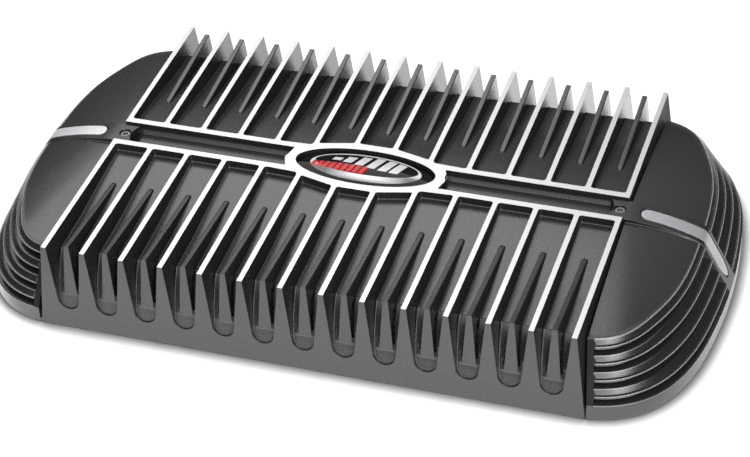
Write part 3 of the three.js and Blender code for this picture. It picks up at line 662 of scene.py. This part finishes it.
def channel_cutter(sign):
    """The channel between the rails, from the medallion out through one end."""
    wall = [(9.95, CUT_TOP), (RAIL_INNER_Y, TOP_Z), (9.62, 53.8), (9.5, 53.5), (8.9, 52.8),
            (8.2, 51.9), (7.6, CHANNEL_Z)]
    section = [(-y, z) for y, z in wall]
    section += [(y * 7.5, CHANNEL_Z) for y in np.linspace(-0.9, 0.9, 19)]
    section += [(y, z) for y, z in reversed(wall)]
    section += [(y, CUT_TOP) for y in np.linspace(9.0, -9.0, 31)]
    rings = []
    for inward in (0.0, 0.1, 0.35, 0.7, 1.1, 1.8, 4.0, 8.0):
        rise = round_in(inward, 1.1)
        rings.append([(sign * (channel_inner_x(y) + inward), y, z + rise if z < 53 else z)
                      for y, z in section])
    for x in (66.0, 110.0, 182.0):
        rings.append([(sign * x, y, z) for y, z in section])
    return loft(rings)


def rounded_rectangle(half_x, half_y, radius=0.5, steps=4):
    x, y = half_x - radius, half_y - radius
    points = []
    for corner_x, corner_y, start in ((x, -y, -90), (x, y, 0), (-x, y, 90), (-x, -y, 180)):
        for i in range(steps + 1):
            t = math.radians(start + 90 * i / steps)
            points.append((corner_x + radius * math.cos(t), corner_y + radius * math.sin(t)))
    return points


def heatsink_block():
    rings = []
    for z, inset in ((0.0, 0.35), (0.35, 0.0), (TOP_Z, 0.0)):
        share = z / TOP_Z
        half_x = FOOT_HALF_X + (TOP_HALF_X - FOOT_HALF_X) * share - inset
        half_y = FOOT_HALF_Y + (TOP_HALF_Y - FOOT_HALF_Y) * share - inset
        rings.append(ring_at(rounded_rectangle(half_x, half_y), z))
    return loft(rings)


# (half x, half y, z) of the medallion's seat
SEAT = [(45.9, 17.6, 62), (45.8, 17.5, TOP_Z), (45.7, 17.4, 53.7), (45.3, 17.0, 53.2)]
# (y, z) of the hollow under the casting
UNDERSIDE = [(-120.3, -2), (-120.3, 1.9), (-106, 1.9), (-106, 36), (-99, 40.5),
             (99, 40.5), (106, 36), (106, 1.9), (120.3, 1.9), (120.3, -2)]


def color_heatsink_faces(obj):
    """Slots: 0 coat, 1 bright top, 2 end faces, 3 painted light on the foot of the pockets."""
    for face in obj.data.polygons:
        normal, centre = face.normal, face.center / MM
        slopes_out = 0.25 < normal.z < 0.85 and abs(normal.x) < 0.4
        # the sloping faces at the foot of the long-side pockets take the lighter coat, painted light
        if abs(centre.y) > 119 and 5 < centre.z < 22 and slopes_out:
            face.material_index = 3
        if abs(normal.x) > 0.95 and abs(centre.x) > 166:
            face.material_index = 2
        if normal.z > 0.995 and centre.z > TOP_Z - 0.03:
            face.material_index = 1


def build_heatsink():
    obj = new_object("heatsink_casting", *heatsink_block())
    places = [((i - 6) * FIN_PITCH, side) for i in range(FIN_COUNT - 1) for side in SIDES]
    minus(obj, join([pocket(*place) for place in places]))
    minus(obj, join([groove for place in places for groove in grooves(*place)]))
    plus(obj, join([short_fin(*place) for place in places]))
    minus(obj, join([channel_cutter(1), channel_cutter(-1)]))
    minus(obj, loft([ring_at(ellipse(a, b), z) for a, b, z in SEAT]))
    minus(obj, prism_x(UNDERSIDE, -182, 182))
    holes = [turned([(2.3, 38), (2.3, 60)], side * CAP_SCREW_X, 0, 32) for side in SIDES]
    holes += [turned([(1.8, -1), (1.8, 12)], x, y, 24) for x in (-120, 120) for y in (-113, 113)]
    minus(obj, join(holes))
    dress(obj, "coat", "bright", "coat_side", "coat_painted_light_slot_foot")
    color_heatsink_faces(obj)
    finish_mesh(obj, 32)
    register(obj, rides="root", replaces="heatsink")


build_heatsink()

# ---------------------------------------------------------------- end caps, built on the +X side
BAND_Z, EDGE_Z = 11.0, 46.0  # top of the plain foot band, top of the louvred side
CROWN = 7.5                  # rise of the roof above EDGE_Z
ROOF_X = 168.0               # the roof's highest point
CAP_INNER_X = 150            # cutters start here, inside the cap's open end
LOUVRES = 4
# (x, |y|) of half the cap's outline, from its inner end to the middle of its outer end
FOOT_OUTLINE = [
    (173.4, 128.4), (182.6, 127), (191.5, 124.2), (199, 120), (205.4, 114.8), (210.4, 109.8),
    (215, 103.6), (219.4, 95.6), (223.6, 85.6), (227.6, 72), (230.4, 56), (232.4, 38),
    (233.9, 19), (234.4, 0)]
EDGE_OUTLINE = [
    (169.4, 111), (177, 109.8), (184, 106.9), (189, 103), (193, 98.2), (196.6, 92), (200, 84.4),
    (205, 73), (209.3, 60.8), (212.4, 46), (214.3, 26), (214.8, 0)]
# one louvre from its foot to its top: (share of its height, depth)
LOUVRE = [
    (0.0, 0.55), (0.006, 0.9), (0.018, 1.6), (0.035, 3.6), (0.07, 4.6), (0.42, 4.8),
    (0.485, 4.5), (0.505, 2.6), (0.515, 0.6), (0.525, -0.5), (0.54, -0.95), (0.56, -1.15),
    (0.58, -1.2), (0.60, -1.12), (0.615, -0.9), (0.622, -0.6), (0.632, -0.1), (0.65, 0.05),
    (0.668, -0.05), (0.68, -0.35), (0.69, -0.62), (0.705, -0.78), (0.73, -0.8), (0.80, -0.5),
    (0.88, -0.12), (0.95, 0.26), (0.985, 0.44)]
# (x, z) along the top of the ridge
RIDGE = np.array([
    (168.2, 56), (173, 56), (177, 55.35), (183, 54.6), (190, 53.5), (196, 52.2), (202, 50.6),
    (207, 49.1), (210.5, 47.95), (213.6, 46.72), (215.3, 45.85), (216.5, 44.75), (217.5, 43.3),
    (218.3, 41.9), (219.6, 39.4), (222, 34.8), (226, 27.4), (230, 19.8), (233.2, 13.6),
    (234.3, 11.3)])
# (y, z) of the tongue that lies in the heatsink's channel
TONGUE = [(-7.1, 51.5), (7.1, 51.5), (9.0, 53.6), (9.25, 54.0), (9.2, 55.6),
          (8.9, 56.0), (-8.9, 56.0), (-9.2, 55.6), (-9.25, 54.0), (-9.0, 53.6)]
# (x, z) of the arched opening through the +Y side
SIDE_ARCH = [(178, -2), (202, -2), (202, 6.2), (201.4, 8.1), (200.1, 9.1), (198.6, 9.4),
             (181.4, 9.4), (179.9, 9.1), (178.6, 8.1), (178, 6.2)]


def smooth_outline(half, sigma=7.0):
    """The whole outline, smoothed and resampled densely where the louvres begin and end."""
    corners = np.array([(x, -y) for x, y in half] + [(x, y) for x, y in half[-2::-1]], float)
    length = path_length(corners)
    samples, pad, reach = 721, 120, 90
    even = np.linspace(0, length[-1], samples)
    line = np.c_[np.interp(even, length, corners[:, 0]), np.interp(even, length, corners[:, 1])]
    # both ends are continued by their point reflection, so that smoothing leaves them in place
    before = 2 * line[0] - line[1:pad + 1][::-1]
    after = 2 * line[-1] - line[-pad - 1:-1][::-1]
    padded = np.r_[before, line, after]
    offsets = np.arange(-reach, reach + 1) * length[-1] / (samples - 1)
    kernel = np.exp(-0.5 * (offsets / sigma) ** 2)
    kernel /= kernel.sum()
    smooth = np.c_[np.convolve(padded[:, 0], kernel, "same"),
                   np.convolve(padded[:, 1], kernel, "same")][pad:-pad]
    smooth = 0.5 * (smooth + smooth[::-1] * [1, -1])
    length = path_length(smooth)
    middle = length[-1] / 2
    first = np.r_[np.linspace(0, 3.4, 4), np.linspace(3.9, 4.7, 5),
                  np.linspace(5.4, middle - 11.0, 72), middle - 9.4, middle - 8.4,
                  middle - 7.8 + np.linspace(0, 1.1, 5), middle - 3.6]
    stations = np.r_[first, middle, (2 * middle - first)[::-1]]
    return np.c_[np.interp(stations, length, smooth[:, 0]),
                 np.interp(stations, length, smooth[:, 1])]


FOOT_LINE, EDGE_LINE = smooth_outline(FOOT_OUTLINE), smooth_outline(EDGE_OUTLINE)
RIDGE_TANGENTS = unit_tangents(RIDGE)
RIDGE_NORMALS = np.c_[-RIDGE_TANGENTS[:, 1], RIDGE_TANGENTS[:, 0]]
RIDGE_NORMALS[RIDGE_NORMALS[:, 1] < 0] *= -1


def cap_ring(share, z, inset=0.0):
    """Outline between foot (0) and edge (1), moved inwards by inset, one value or one a point."""
    line = FOOT_LINE * (1 - share) + EDGE_LINE * share
    tangents = unit_tangents(line)
    x = line[:, 0] - tangents[:, 1] * inset
    y = line[:, 1] + tangents[:, 0] * inset
    return ring_at(zip(x, y), z)


def side_share(z):
    return max(0.0, (z - BAND_Z) / (EDGE_Z - BAND_Z))


def roof_ring(ring, share, z):
    return [(ROOF_X + (x - ROOF_X) * share, y * share, z) for x, y, _ in ring]


def roof_z(share):
    return EDGE_Z + CROWN * (1 - share * share)


def build_cap_shell():
    """The solid cap with its louvred side and domed roof, and its faces' materials, painted
    highlights along its edges among them.
    """
    middle_line = FOOT_LINE * 0.5 + EDGE_LINE * 0.5
    run = path_length(middle_line)
    from_end = np.minimum(run, run[-1] - run)
    # louvres fade out at the cap's inner ends and beside the ridge
    beside_ridge = smoothstep((np.abs(middle_line[:, 1]) - 6.9) / 0.7)
    beside_ridge = np.where(middle_line[:, 0] > 190, beside_ridge, 1.0)
    fade = smoothstep((from_end - 3.9) / 0.8) * beside_ridge
    lean = smoothstep((middle_line[:, 0] - 203.0) / 16.0)

    band = ((0.0, 0.5), (0.25, 0.15), (0.6, 0.0), (BAND_Z - 0.7, 0.0), (BAND_Z - 0.35, 0.03))
    rings = [cap_ring(0, z, inset) for z, inset in band]
    # rings whose faces take the bright coat as a painted highlight: the band's top, the louvre
    # beads, the lip tops and the roof edge; on the lower lips it fades out round the curve
    painted_highlight_rings, painted_highlight_rings_fading = {3}, set()
    period = (EDGE_Z - BAND_Z) / LOUVRES
    for k in range(LOUVRES):
        is_top = k == LOUVRES - 1
        for t, depth in LOUVRE:
            if 0.535 < t < 0.605:
                painted_highlight_rings.add(len(rings))
            if t > 0.94:
                (painted_highlight_rings if is_top else painted_highlight_rings_fading).add(len(rings))
            z = BAND_Z + k * period + t * period
            if t > 0.1:
                gain = 0.0 if is_top else min(1.0, max(0.0, (t - 0.705) / 0.28))
            else:
                gain = float(t < 0.02 and k > 0)
            rings.append(cap_ring(side_share(z), z, (depth + 1.4 * gain * lean) * fade))
    painted_highlight_rings |= {len(rings), len(rings) + 1}
    for rise, inset in ((0.02, 0.46), (0.2, 0.54), (0.36, 0.7), (0.46, 0.92), (0.50, 1.2)):
        rings.append(cap_ring(1, EDGE_Z + rise, inset))
    edge = cap_ring(1, 0)
    for share in (0.972, 0.95, 0.91, 0.85, 0.78, 0.67, 0.55, 0.42, 0.28, 0.14, 0.05):
        rings.append(roof_ring(edge, share, roof_z(share)))
    obj = new_object("end_cap_shell", *loft(rings, (ROOF_X, 0, EDGE_Z + CROWN)))

    dress(obj, "coat_cap", "coat_painted_highlight", "coat_painted_highlight_fading", "coat_side")
    count = len(FOOT_LINE)
    louvred = range(len(band), len(band) + LOUVRES * len(LOUVRE))
    for face in obj.data.polygons:
        r, i = divmod(face.index, count)
        has_painted_highlight = r in painted_highlight_rings or r in painted_highlight_rings_fading
        if has_painted_highlight and 6 <= i < count - 7 and len(face.vertices) == 4:
            face.material_index = 1 if r in painted_highlight_rings else 2
        elif r in louvred and (i < 4 or count - 5 <= i < count - 1):
            face.material_index = 3
    return obj


def across_ridge(point, normal, section):
    """Places a (y, height above the ridge) section at a ridge point."""
    return [(point[0] + normal[0] * d, y, point[1] + normal[1] * d) for y, d in section]


def ridge_bar():
    """The raised ridge down the middle of the cap, with a small fillet onto the roof."""
    rings = []
    depth = 4.5
    for i, (point, normal) in enumerate(zip(RIDGE, RIDGE_NORMALS)):
        half = 9.2 - 0.9 * i / (len(RIDGE) - 1)
        x, z = point
        height = z - roof_z((x - ROOF_X) / (214.6 - ROOF_X)) if x < 213 else 0.0
        if height > 0.75:
            foot = [(half + 0.02, -(height - 0.62)), (half + 0.14, -(height - 0.3)),
                    (half + 0.4, -(height - 0.1)), (half + 0.75, -(height + 0.02)),
                    (half + 0.8, -depth)]
        else:
            foot = [(half + 0.03, -0.55), (half + 0.06, -0.8), (half + 0.09, -1.1),
                    (half + 0.2, -1.8), (half + 0.3, -depth)]
        shoulder = [(half - 0.42, 0.0), (half - 0.2, -0.08), (half - 0.06, -0.24), (half, -0.42)]
        right = shoulder + foot
        section = [(-y, d) for y, d in right[::-1]] + [(0.0, 0.0)] + right
        rings.append(across_ridge(point, normal, section))
    return loft(rings)


def cap_tongue():
    """The tongue, its inner end hollowed to fit round the screw's side of the channel."""
    section = []
    for a, b in zip(TONGUE, TONGUE[1:] + TONGUE[:1]):
        steps = 12 if abs(a[0] - b[0]) > 5 else 1
        for i in range(steps):
            section.append((a[0] + (b[0] - a[0]) * i / steps, a[1] + (b[1] - a[1]) * i / steps))
    stations = ((155.5, 3.6), (160.5, 1.0), (164.0, 0.0), (169.6, 0.0))  # (x, hollow)
    return loft([[(x + hollow * (1 - (y / 9.25) ** 2), y, z) for y, z in section]
                 for x, hollow in stations])


def cap_hollow():
    """Cutter for the inside of the cap, open towards the heatsink."""
    top = 41.6
    upper = cap_ring(side_share(top), top, 6.8)
    rings = [cap_ring(0, -2, 3.2), cap_ring(0, 8, 3.2), cap_ring(0, 11.5, 7.2), upper]
    for share, z in ((0.86, 44.0), (0.66, 46.3), (0.45, 48.1), (0.24, 49.3), (0.05, 49.9)):
        rings.append(roof_ring(upper, share, z))
    return loft([[(CAP_INNER_X, *ring[0][1:])] + ring + [(CAP_INNER_X, *ring[-1][1:])]
                 for ring in rings])


def strip_solid(high, low, grow, rounded=0.0):
    """Bar along the ridge with a round inner end and a tapered tip.

    high and low are heights above the ridge; grow widens the bar all round.
    """
    length = path_length(RIDGE)
    start = float(np.interp(176.4 - grow, RIDGE[:, 0], length))
    tip = float(np.interp(231.0 + 0.55 * grow, RIDGE[:, 0], length))
    width = 4.8 + grow
    end_half = 0.12
    taper = tip - 9.0
    stations = []  # (distance along the ridge, half width)
    for i in range(13):
        t = i / 12 * math.pi / 2
        stations.append((start + width * (1 - math.cos(t)), width * math.sin(t)))
    for s in np.linspace(start + width + 1.0, taper, 46):
        stations.append((float(s), width))
    for i in range(1, 13):
        t = i / 12
        half = width * math.sqrt(max(0.0, 1 - t ** 2.6)) * (1 - 0.25 * t)
        stations.append((taper + (tip - taper) * t, half))
    stations[0] = (stations[0][0], end_half)
    stations[-1] = (stations[-1][0], end_half)
    rings = []
    for s, half in stations:
        point = [np.interp(s, length, RIDGE[:, axis]) for axis in (0, 1)]
        normal = np.array([np.interp(s, length, RIDGE_NORMALS[:, axis]) for axis in (0, 1)])
        normal /= np.hypot(*normal)
        edge = min(rounded, 0.6 * half)
        if edge > 0.02:
            section = [(half, low), (half, high - edge),
                       (half - 0.3 * edge, high - 0.3 * edge), (half - edge, high)]
        else:
            section = [(half, low), (half, low * 0.3 + high * 0.7),
                       (half, low * 0.2 + high * 0.8), (half, high)]
        rings.append(across_ridge(point, normal, both_sides(section)))
    return loft(rings)


def build_cap():
    obj = build_cap_shell()
    # clear the roof's inner part to a flat face where the ridge starts
    minus(obj, prism_x([(-14, 47.0), (14, 47.0), (14, 60), (-14, 60)], CAP_INNER_X, RIDGE[0, 0]))
    plus(obj, ridge_bar())
    plus(obj, cap_tongue())
    minus(obj, cap_hollow())
    # screw hole and counterbore
    minus(obj, turned([(2.3, 40), (2.3, 60)], CAP_SCREW_X, 0, 40))
    minus(obj, turned([(3.7, 53), (3.7, 55.75), (4.0, 56.05), (4.4, 60)], CAP_SCREW_X, 0, 56))
    minus(obj, prism_y(SIDE_ARCH, 100, 140))
    minus(obj, strip_solid(high=4.0, low=-1.7, grow=0.9))
    obj.name = "right_cap_casting"
    return obj


# (radius, z) of the cap screw, from its tip up
SCREW_PROFILE = [(1.5, 42.6), (2.0, 43.3), (2.0, 53.2), (3.15, 53.2), (3.38, 53.4),
                 (3.38, 54.6), (3.25, 54.85), (2.9, 55.0)]


def build_cap_screw():
    obj = new_object("right_cap_socket_screw", *turned(SCREW_PROFILE, CAP_SCREW_X, 0, 64))
    minus(obj, prism_z(ellipse(1.75, 1.75, CAP_SCREW_X, 0, count=6), 53.9, 58))
    return obj


def build_caps():
    cap_right = build_cap()
    cap_left = mirrored_object(cap_right, "left_cap_casting")
    bar = strip_solid(high=0.12, low=-1.38, grow=0.0, rounded=0.35)
    strip_right = new_object("right_strip_bar", *bar)
    strip_left = new_object("left_strip_bar", *mirrored_shell(bar))
    screw_right = build_cap_screw()
    screw_left = mirrored_object(screw_right, "left_cap_socket_screw")
    # each strip takes its own copy of the brushed finish, with painted light on the left and painted
    # shade on the right
    for name, cap, strip, strip_look_with_painted_light, screw in (
            ("left", cap_left, strip_left, "strip_left", screw_left),
            ("right", cap_right, strip_right, "strip", screw_right)):
        rides = name + "_cap"
        finish_mesh(cap, 34)
        register(cap, rides, replaces=name + "_end_cap")
        dress(strip, strip_look_with_painted_light)
        finish_mesh(strip, 40)
        register(strip, rides, replaces=name + "_cap_strip")
        dress(screw, "cap_screw")
        finish_mesh(screw, 40, bevel=0.12)
        register(screw, rides + "_screw", replaces=name + "_cap_screw")


build_caps()

# ---------------------------------------------------------------- medallion
DOME_HALF_X, DOME_HALF_Y = 45.4, 17.1
DOME_EDGE_Z, DOME_RISE = 55.2, 1.9
# sizes of the dome's inner rings, as shares of its outline
DOME_SHARES = (0.96, 0.92, 0.86, 0.78, 0.68, 0.56, 0.42, 0.28, 0.14)


def domed_shell(skirt, first_share, lift, count):
    """skirt: (share, z) of the rings below the dome, which is raised by lift."""
    levels = list(skirt)
    for share in (first_share, *DOME_SHARES):
        levels.append((share, DOME_EDGE_Z + lift + DOME_RISE * (1 - share * share)))
    rings = [ring_at(ellipse(DOME_HALF_X * share, DOME_HALF_Y * share, count=count), z)
             for share, z in levels]
    return loft(rings, (0, 0, DOME_EDGE_Z + DOME_RISE + lift))


def print_on_dome(obj, lift, look, replaces=None):
    """Trims obj to a thin layer on the dome, its top at lift, and finishes it."""
    skirt = [(0.995, 54.4 + lift)]
    common(obj, domed_shell(skirt, first_share=0.995, lift=lift, count=96))
    dress(obj, look)
    finish_mesh(obj, 35)
    register(obj, rides="root", replaces=replaces)


def build_dome():
    skirt = [(1.0, 53.5), (1.0, 54.9), (0.995, 55.12)]
    shell = domed_shell(skirt, first_share=0.985, lift=0.0, count=144)
    obj = new_object("medallion_lens", *shell)
    dress(obj, "gloss")
    finish_mesh(obj, 40)
    register(obj, rides="root", replaces="medallion_dome")


def build_crescent():
    outer = prism_z(ellipse(36.5, 13.7, y=1.0), 50, 60)
    obj = new_object("medallion_ring_trim", *outer)
    minus(obj, prism_z(ellipse(33.9, 9.9, y=3.2), 40, 70))
    print_on_dome(obj, lift=0.14, look="trim", replaces="medallion_trim")


def slanted_bar(low_x, high_x, half_width, low_y, high_y):
    return prism_z([(low_x - half_width, low_y), (low_x + half_width, low_y),
                    (high_x + half_width, high_y), (high_x - half_width, high_y)], 50, 60)


# (x where the slant crosses y = 0, lower y, upper y)
LEVEL_BARS = [(-22.5, 4.6, 7.8), (-14.5, 3.4, 9.8), (-6.0, 2.1, 11.6),
              (2.6, 0.6, 12.8), (11.0, -0.4, 12.4), (18.6, -0.8, 10.6)]


def build_level_bars():
    slant = 0.42
    bars = [slanted_bar(x + slant * low, x + slant * high, 2.9, low, high)
            for x, low, high in LEVEL_BARS]
    obj = new_object("medallion_level_bars", *join(bars))
    # an arch trims the bars' upper ends
    arch = [(x, 2.4 + 10.2 * math.sqrt(max(0, 1 - (x / 33.0) ** 2)))
            for x in np.linspace(-33, 33, 45)]
    minus(obj, prism_z([(-40, 20), (-40, 16)] + arch + [(40, 16), (40, 20)], 40, 70))
    print_on_dome(obj, lift=0.12, look="silver")


def build_red_dashes():
    slant = 0.3
    dashes = []
    for i in range(9):
        x, y = -33.5 + i * 4.1, -0.6 - 0.24 * i
        half = 2.3 + 0.25 * min(i, 5)
        dashes.append(slanted_bar(x - slant * half, x + slant * half, 1.5, y - half, y + half))
    obj = new_object("medallion_red_dashes", *join(dashes))
    print_on_dome(obj, lift=0.24, look="red")


build_dome()
build_crescent()
build_level_bars()
build_red_dashes()

# ---------------------------------------------------------------- the other CAD nodes
# (start of the node's name, material, edge width in mm); the first match counts
LOOKS = [
    ("base_plate_screw", "screw", 0.1), ("base_plate", "black_steel", 0.25),
    ("left_end_panel", "black_steel", 0.25), ("right_end_panel", "black_steel", 0.25),
    ("main_board", "board", 0.15), ("board_standoff", "brass", 0.2),
    ("crossover_switch", "zinc", 0.3), ("crossover_slider", "plastic", 0.2),
    ("gain_potentiometer", "zinc", 0.4), ("bass_potentiometer", "zinc", 0.4),
    ("gain_knob", "plastic", 0.3), ("bass_knob", "plastic", 0.3),
    ("status_led", "led", 0.15), ("toroid", "copper", 1.2), ("capacitor", "sleeve", 0.4),
    ("power_transistor", "plastic", 0.3), ("transistor_clamp", "zinc", 0.3),
    ("insulator_pad", "pad", 0.05), ("power_terminal_block", "plastic", 0.5),
    ("power_terminal_insert", "brass", 0.3), ("power_terminal_screw", "zinc", 0.2),
    ("speaker_terminal_block", "plastic", 0.5), ("speaker_terminal_screw", "zinc", 0.3),
    ("rca_jack_block", "plastic", 0.5), ("rca_socket", "brass", 0.2),
]


def find_look(node):
    for start, look, width in LOOKS:
        if node.startswith(start):
            return look, width
    raise RuntimeError("no look for " + node)


for node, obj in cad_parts.items():
    if obj.hide_render:
        continue
    look, width = find_look(node)
    dress(obj, look)
    weld = obj.modifiers.new("weld", "WELD")
    weld.merge_threshold = 1e-6
    edges = obj.modifiers.new("edges", "BEVEL")
    edges.width, edges.segments, edges.limit_method = width * MM, 2, "ANGLE"
    edges.angle_limit = math.radians(42)
    edges.use_clamp_overlap = True


# ---------------------------------------------------------------- floor
def floor_material():
    material, tree, shader = start_material("pale_floor")
    mottle = noise(tree, coords(tree), scale=3, detail=2.0)
    pale = ramp(tree, mottle, span=(0.3, 0.7), colors=((0.88, 0.88, 0.88), (0.9, 0.9, 0.9)))
    # soft contact shade round the foot of the object, for the camera only
    shade = add_node(tree, "ShaderNodeAmbientOcclusion", {"Distance": 0.017}, samples=12)
    near = map_range(tree, shade.outputs["AO"], span=(0.46, 0.97), to=(0.10, 1.0), smooth=True)
    to_camera = tree.nodes.new("ShaderNodeLightPath").outputs["Is Camera Ray"]
    contact = add_node(tree, "ShaderNodeMix", {0: to_camera, 2: 1.0, 3: near}, data_type="FLOAT")
    color = mix(tree, 1.0, pale, contact.outputs[0], blend="MULTIPLY")
    # the floor lights the object from a band about x = 0, unseen by the camera
    glow = map_range(tree, to_camera, span=(0.0, 1.0), to=(1.2, 0.0))
    from_middle = calculate(tree, "ABSOLUTE", separate(tree, coords(tree))["X"])
    band = map_range(tree, from_middle, span=(0.26, 0.18), smooth=True)
    lit = calculate(tree, "MULTIPLY", glow, band)
    # far from the object the camera sees it brighten to white
    reach = add_node(tree, "ShaderNodeVectorMath", {0: coords(tree)}, operation="LENGTH")
    away = map_range(tree, reach.outputs["Value"], span=(0.4, 1.3), smooth=True)
    afar = calculate(tree, "MULTIPLY", away, to_camera)
    set_inputs(tree, shader, {"Base Color": color, "Emission Color": (1, 1, 1, 1),
                              "Emission Strength": calculate(tree, "ADD", lit, afar),
                              "Roughness": 0.55})
    return material


def build_floor(half=6, z=-0.0004):
    mesh = bpy.data.meshes.new("floor")
    corners = [(-half, -half, z), (half, -half, z), (half, half, z), (-half, half, z)]
    mesh.from_pydata(corners, [], [(0, 1, 2, 3)])
    obj = link_object("floor", mesh)
    mesh.materials.append(floor_material())


build_floor()


# ---------------------------------------------------------------- world
def build_world():
    """A dim room with a glow high at the back, before a white backdrop for the camera."""
    world = bpy.data.worlds.new("studio")
    bpy.context.scene.world = world
    world.use_nodes = True
    tree = world.node_tree
    axes = separate(tree, tree.nodes.new("ShaderNodeTexCoord").outputs["Generated"])
    behind = map_range(tree, axes["Y"], span=(0.25, 0.75), smooth=True)
    # far to the left the glow sits lower and is weaker, so that the left cap's roof stays even
    far_left = map_range(tree, axes["X"], span=(-0.25, -0.40), smooth=True)
    height = calculate(tree, "MULTIPLY_ADD", far_left, 0.2, axes["Z"])
    high = map_range(tree, height, span=(0.32, 0.62), smooth=True)
    not_right = map_range(tree, axes["X"], span=(0.5, 0.15), smooth=True)
    glow = calculate(tree, "MULTIPLY", behind, high)
    glow = calculate(tree, "MULTIPLY", glow, not_right)
    weaker = calculate(tree, "MULTIPLY_ADD", far_left, -0.5, 1.0)
    glow = calculate(tree, "MULTIPLY", glow, weaker)
    strength = calculate(tree, "MULTIPLY_ADD", glow, 0.62, 0.06)
    room = tree.nodes["Background"]
    room.inputs["Strength"].default_value = 0.12  # applies only if the glow is unlinked
    set_inputs(tree, room, {"Color": (0.93, 0.96, 1.0, 1), "Strength": strength})
    to_camera = tree.nodes.new("ShaderNodeLightPath").outputs["Is Camera Ray"]
    white = add_node(tree, "ShaderNodeBackground", {"Color": (1, 1, 1, 1), "Strength": 1.0})
    inputs = {0: to_camera, 1: room.outputs[0], 2: white.outputs[0]}
    mixed = add_node(tree, "ShaderNodeMixShader", inputs)
    tree.links.new(mixed.outputs[0], tree.nodes["World Output"].inputs[0])


build_world()


# ---------------------------------------------------------------- lights
def softbox(name, place, target, size, radiance):
    """A rectangular light of this radiance, its face turned to target."""
    light = bpy.data.lights.new(name, "AREA")
    light.shape, light.size, light.size_y = "RECTANGLE", size[0], size[1]
    light.energy = radiance * math.pi * size[0] * size[1]
    obj = link_object(name, light)
    obj.location = place
    direction = Vector(target) - Vector(place)
    obj.rotation_euler = direction.to_track_quat("-Z", "Y").to_euler()


softbox("overhead_softbox", place=(-0.84, 0.86, 1.68), target=(-0.09, 0.0, 0.0),
        size=(1.8, 1.4), radiance=3.6)
softbox("top_front_softbox", place=(0.1, -1.0, 1.75), target=(0.0, -0.1, 0.0),
        size=(2.4, 1.3), radiance=3.6)
softbox("right_softbox", place=(0.95, -0.65, 1.55), target=(0.1, -0.05, 0.0),
        size=(0.8, 0.8), radiance=8.0)
softbox("front_right_softbox", place=(1.25, -1.75, 1.0), target=(0.05, 0.0, 0.0),
        size=(1.6, 1.95), radiance=5.3)
softbox("front_left_softbox", place=(-1.15, -1.9, 0.55), target=(0.0, 0.0, 0.0),
        size=(1.1, 1.0), radiance=1.3)

# ---------------------------------------------------------------- camera
CAMERA_AZIMUTH = math.radians(19.8)    # from the front towards +X
CAMERA_ELEVATION = math.radians(38.33)
CAMERA_ROLL = math.radians(-3.42)
# mm from the origin, along the camera's right, up and backward directions
CAMERA_OFFSET = (3.57909, 6.82336, 1444.80973)


def build_camera():
    data = bpy.data.cameras.new("camera")
    obj = link_object("camera", data)
    data.sensor_fit, data.sensor_width = "HORIZONTAL", 36.0
    data.lens = 107.85216
    data.clip_start, data.clip_end = 0.05, 30
    azimuth, elevation, roll = CAMERA_AZIMUTH, CAMERA_ELEVATION, CAMERA_ROLL
    backward = Vector((math.sin(azimuth) * math.cos(elevation),
                       -math.cos(azimuth) * math.cos(elevation), math.sin(elevation)))
    level = Vector((math.cos(azimuth), math.sin(azimuth), 0))
    upright = backward.cross(level)
    right = level * math.cos(roll) + upright * math.sin(roll)
    up = -level * math.sin(roll) + upright * math.cos(roll)
    matrix = Matrix((right, up, backward)).transposed().to_4x4()
    along_right, along_up, along_back = CAMERA_OFFSET
    offset = right * along_right + up * along_up + backward * along_back
    matrix.translation = offset * MM
    obj.matrix_world = matrix
    bpy.context.scene.camera = obj


build_camera()
bpy.context.scene.view_settings.view_transform = "Standard"
bpy.context.scene.view_settings.look = "None"
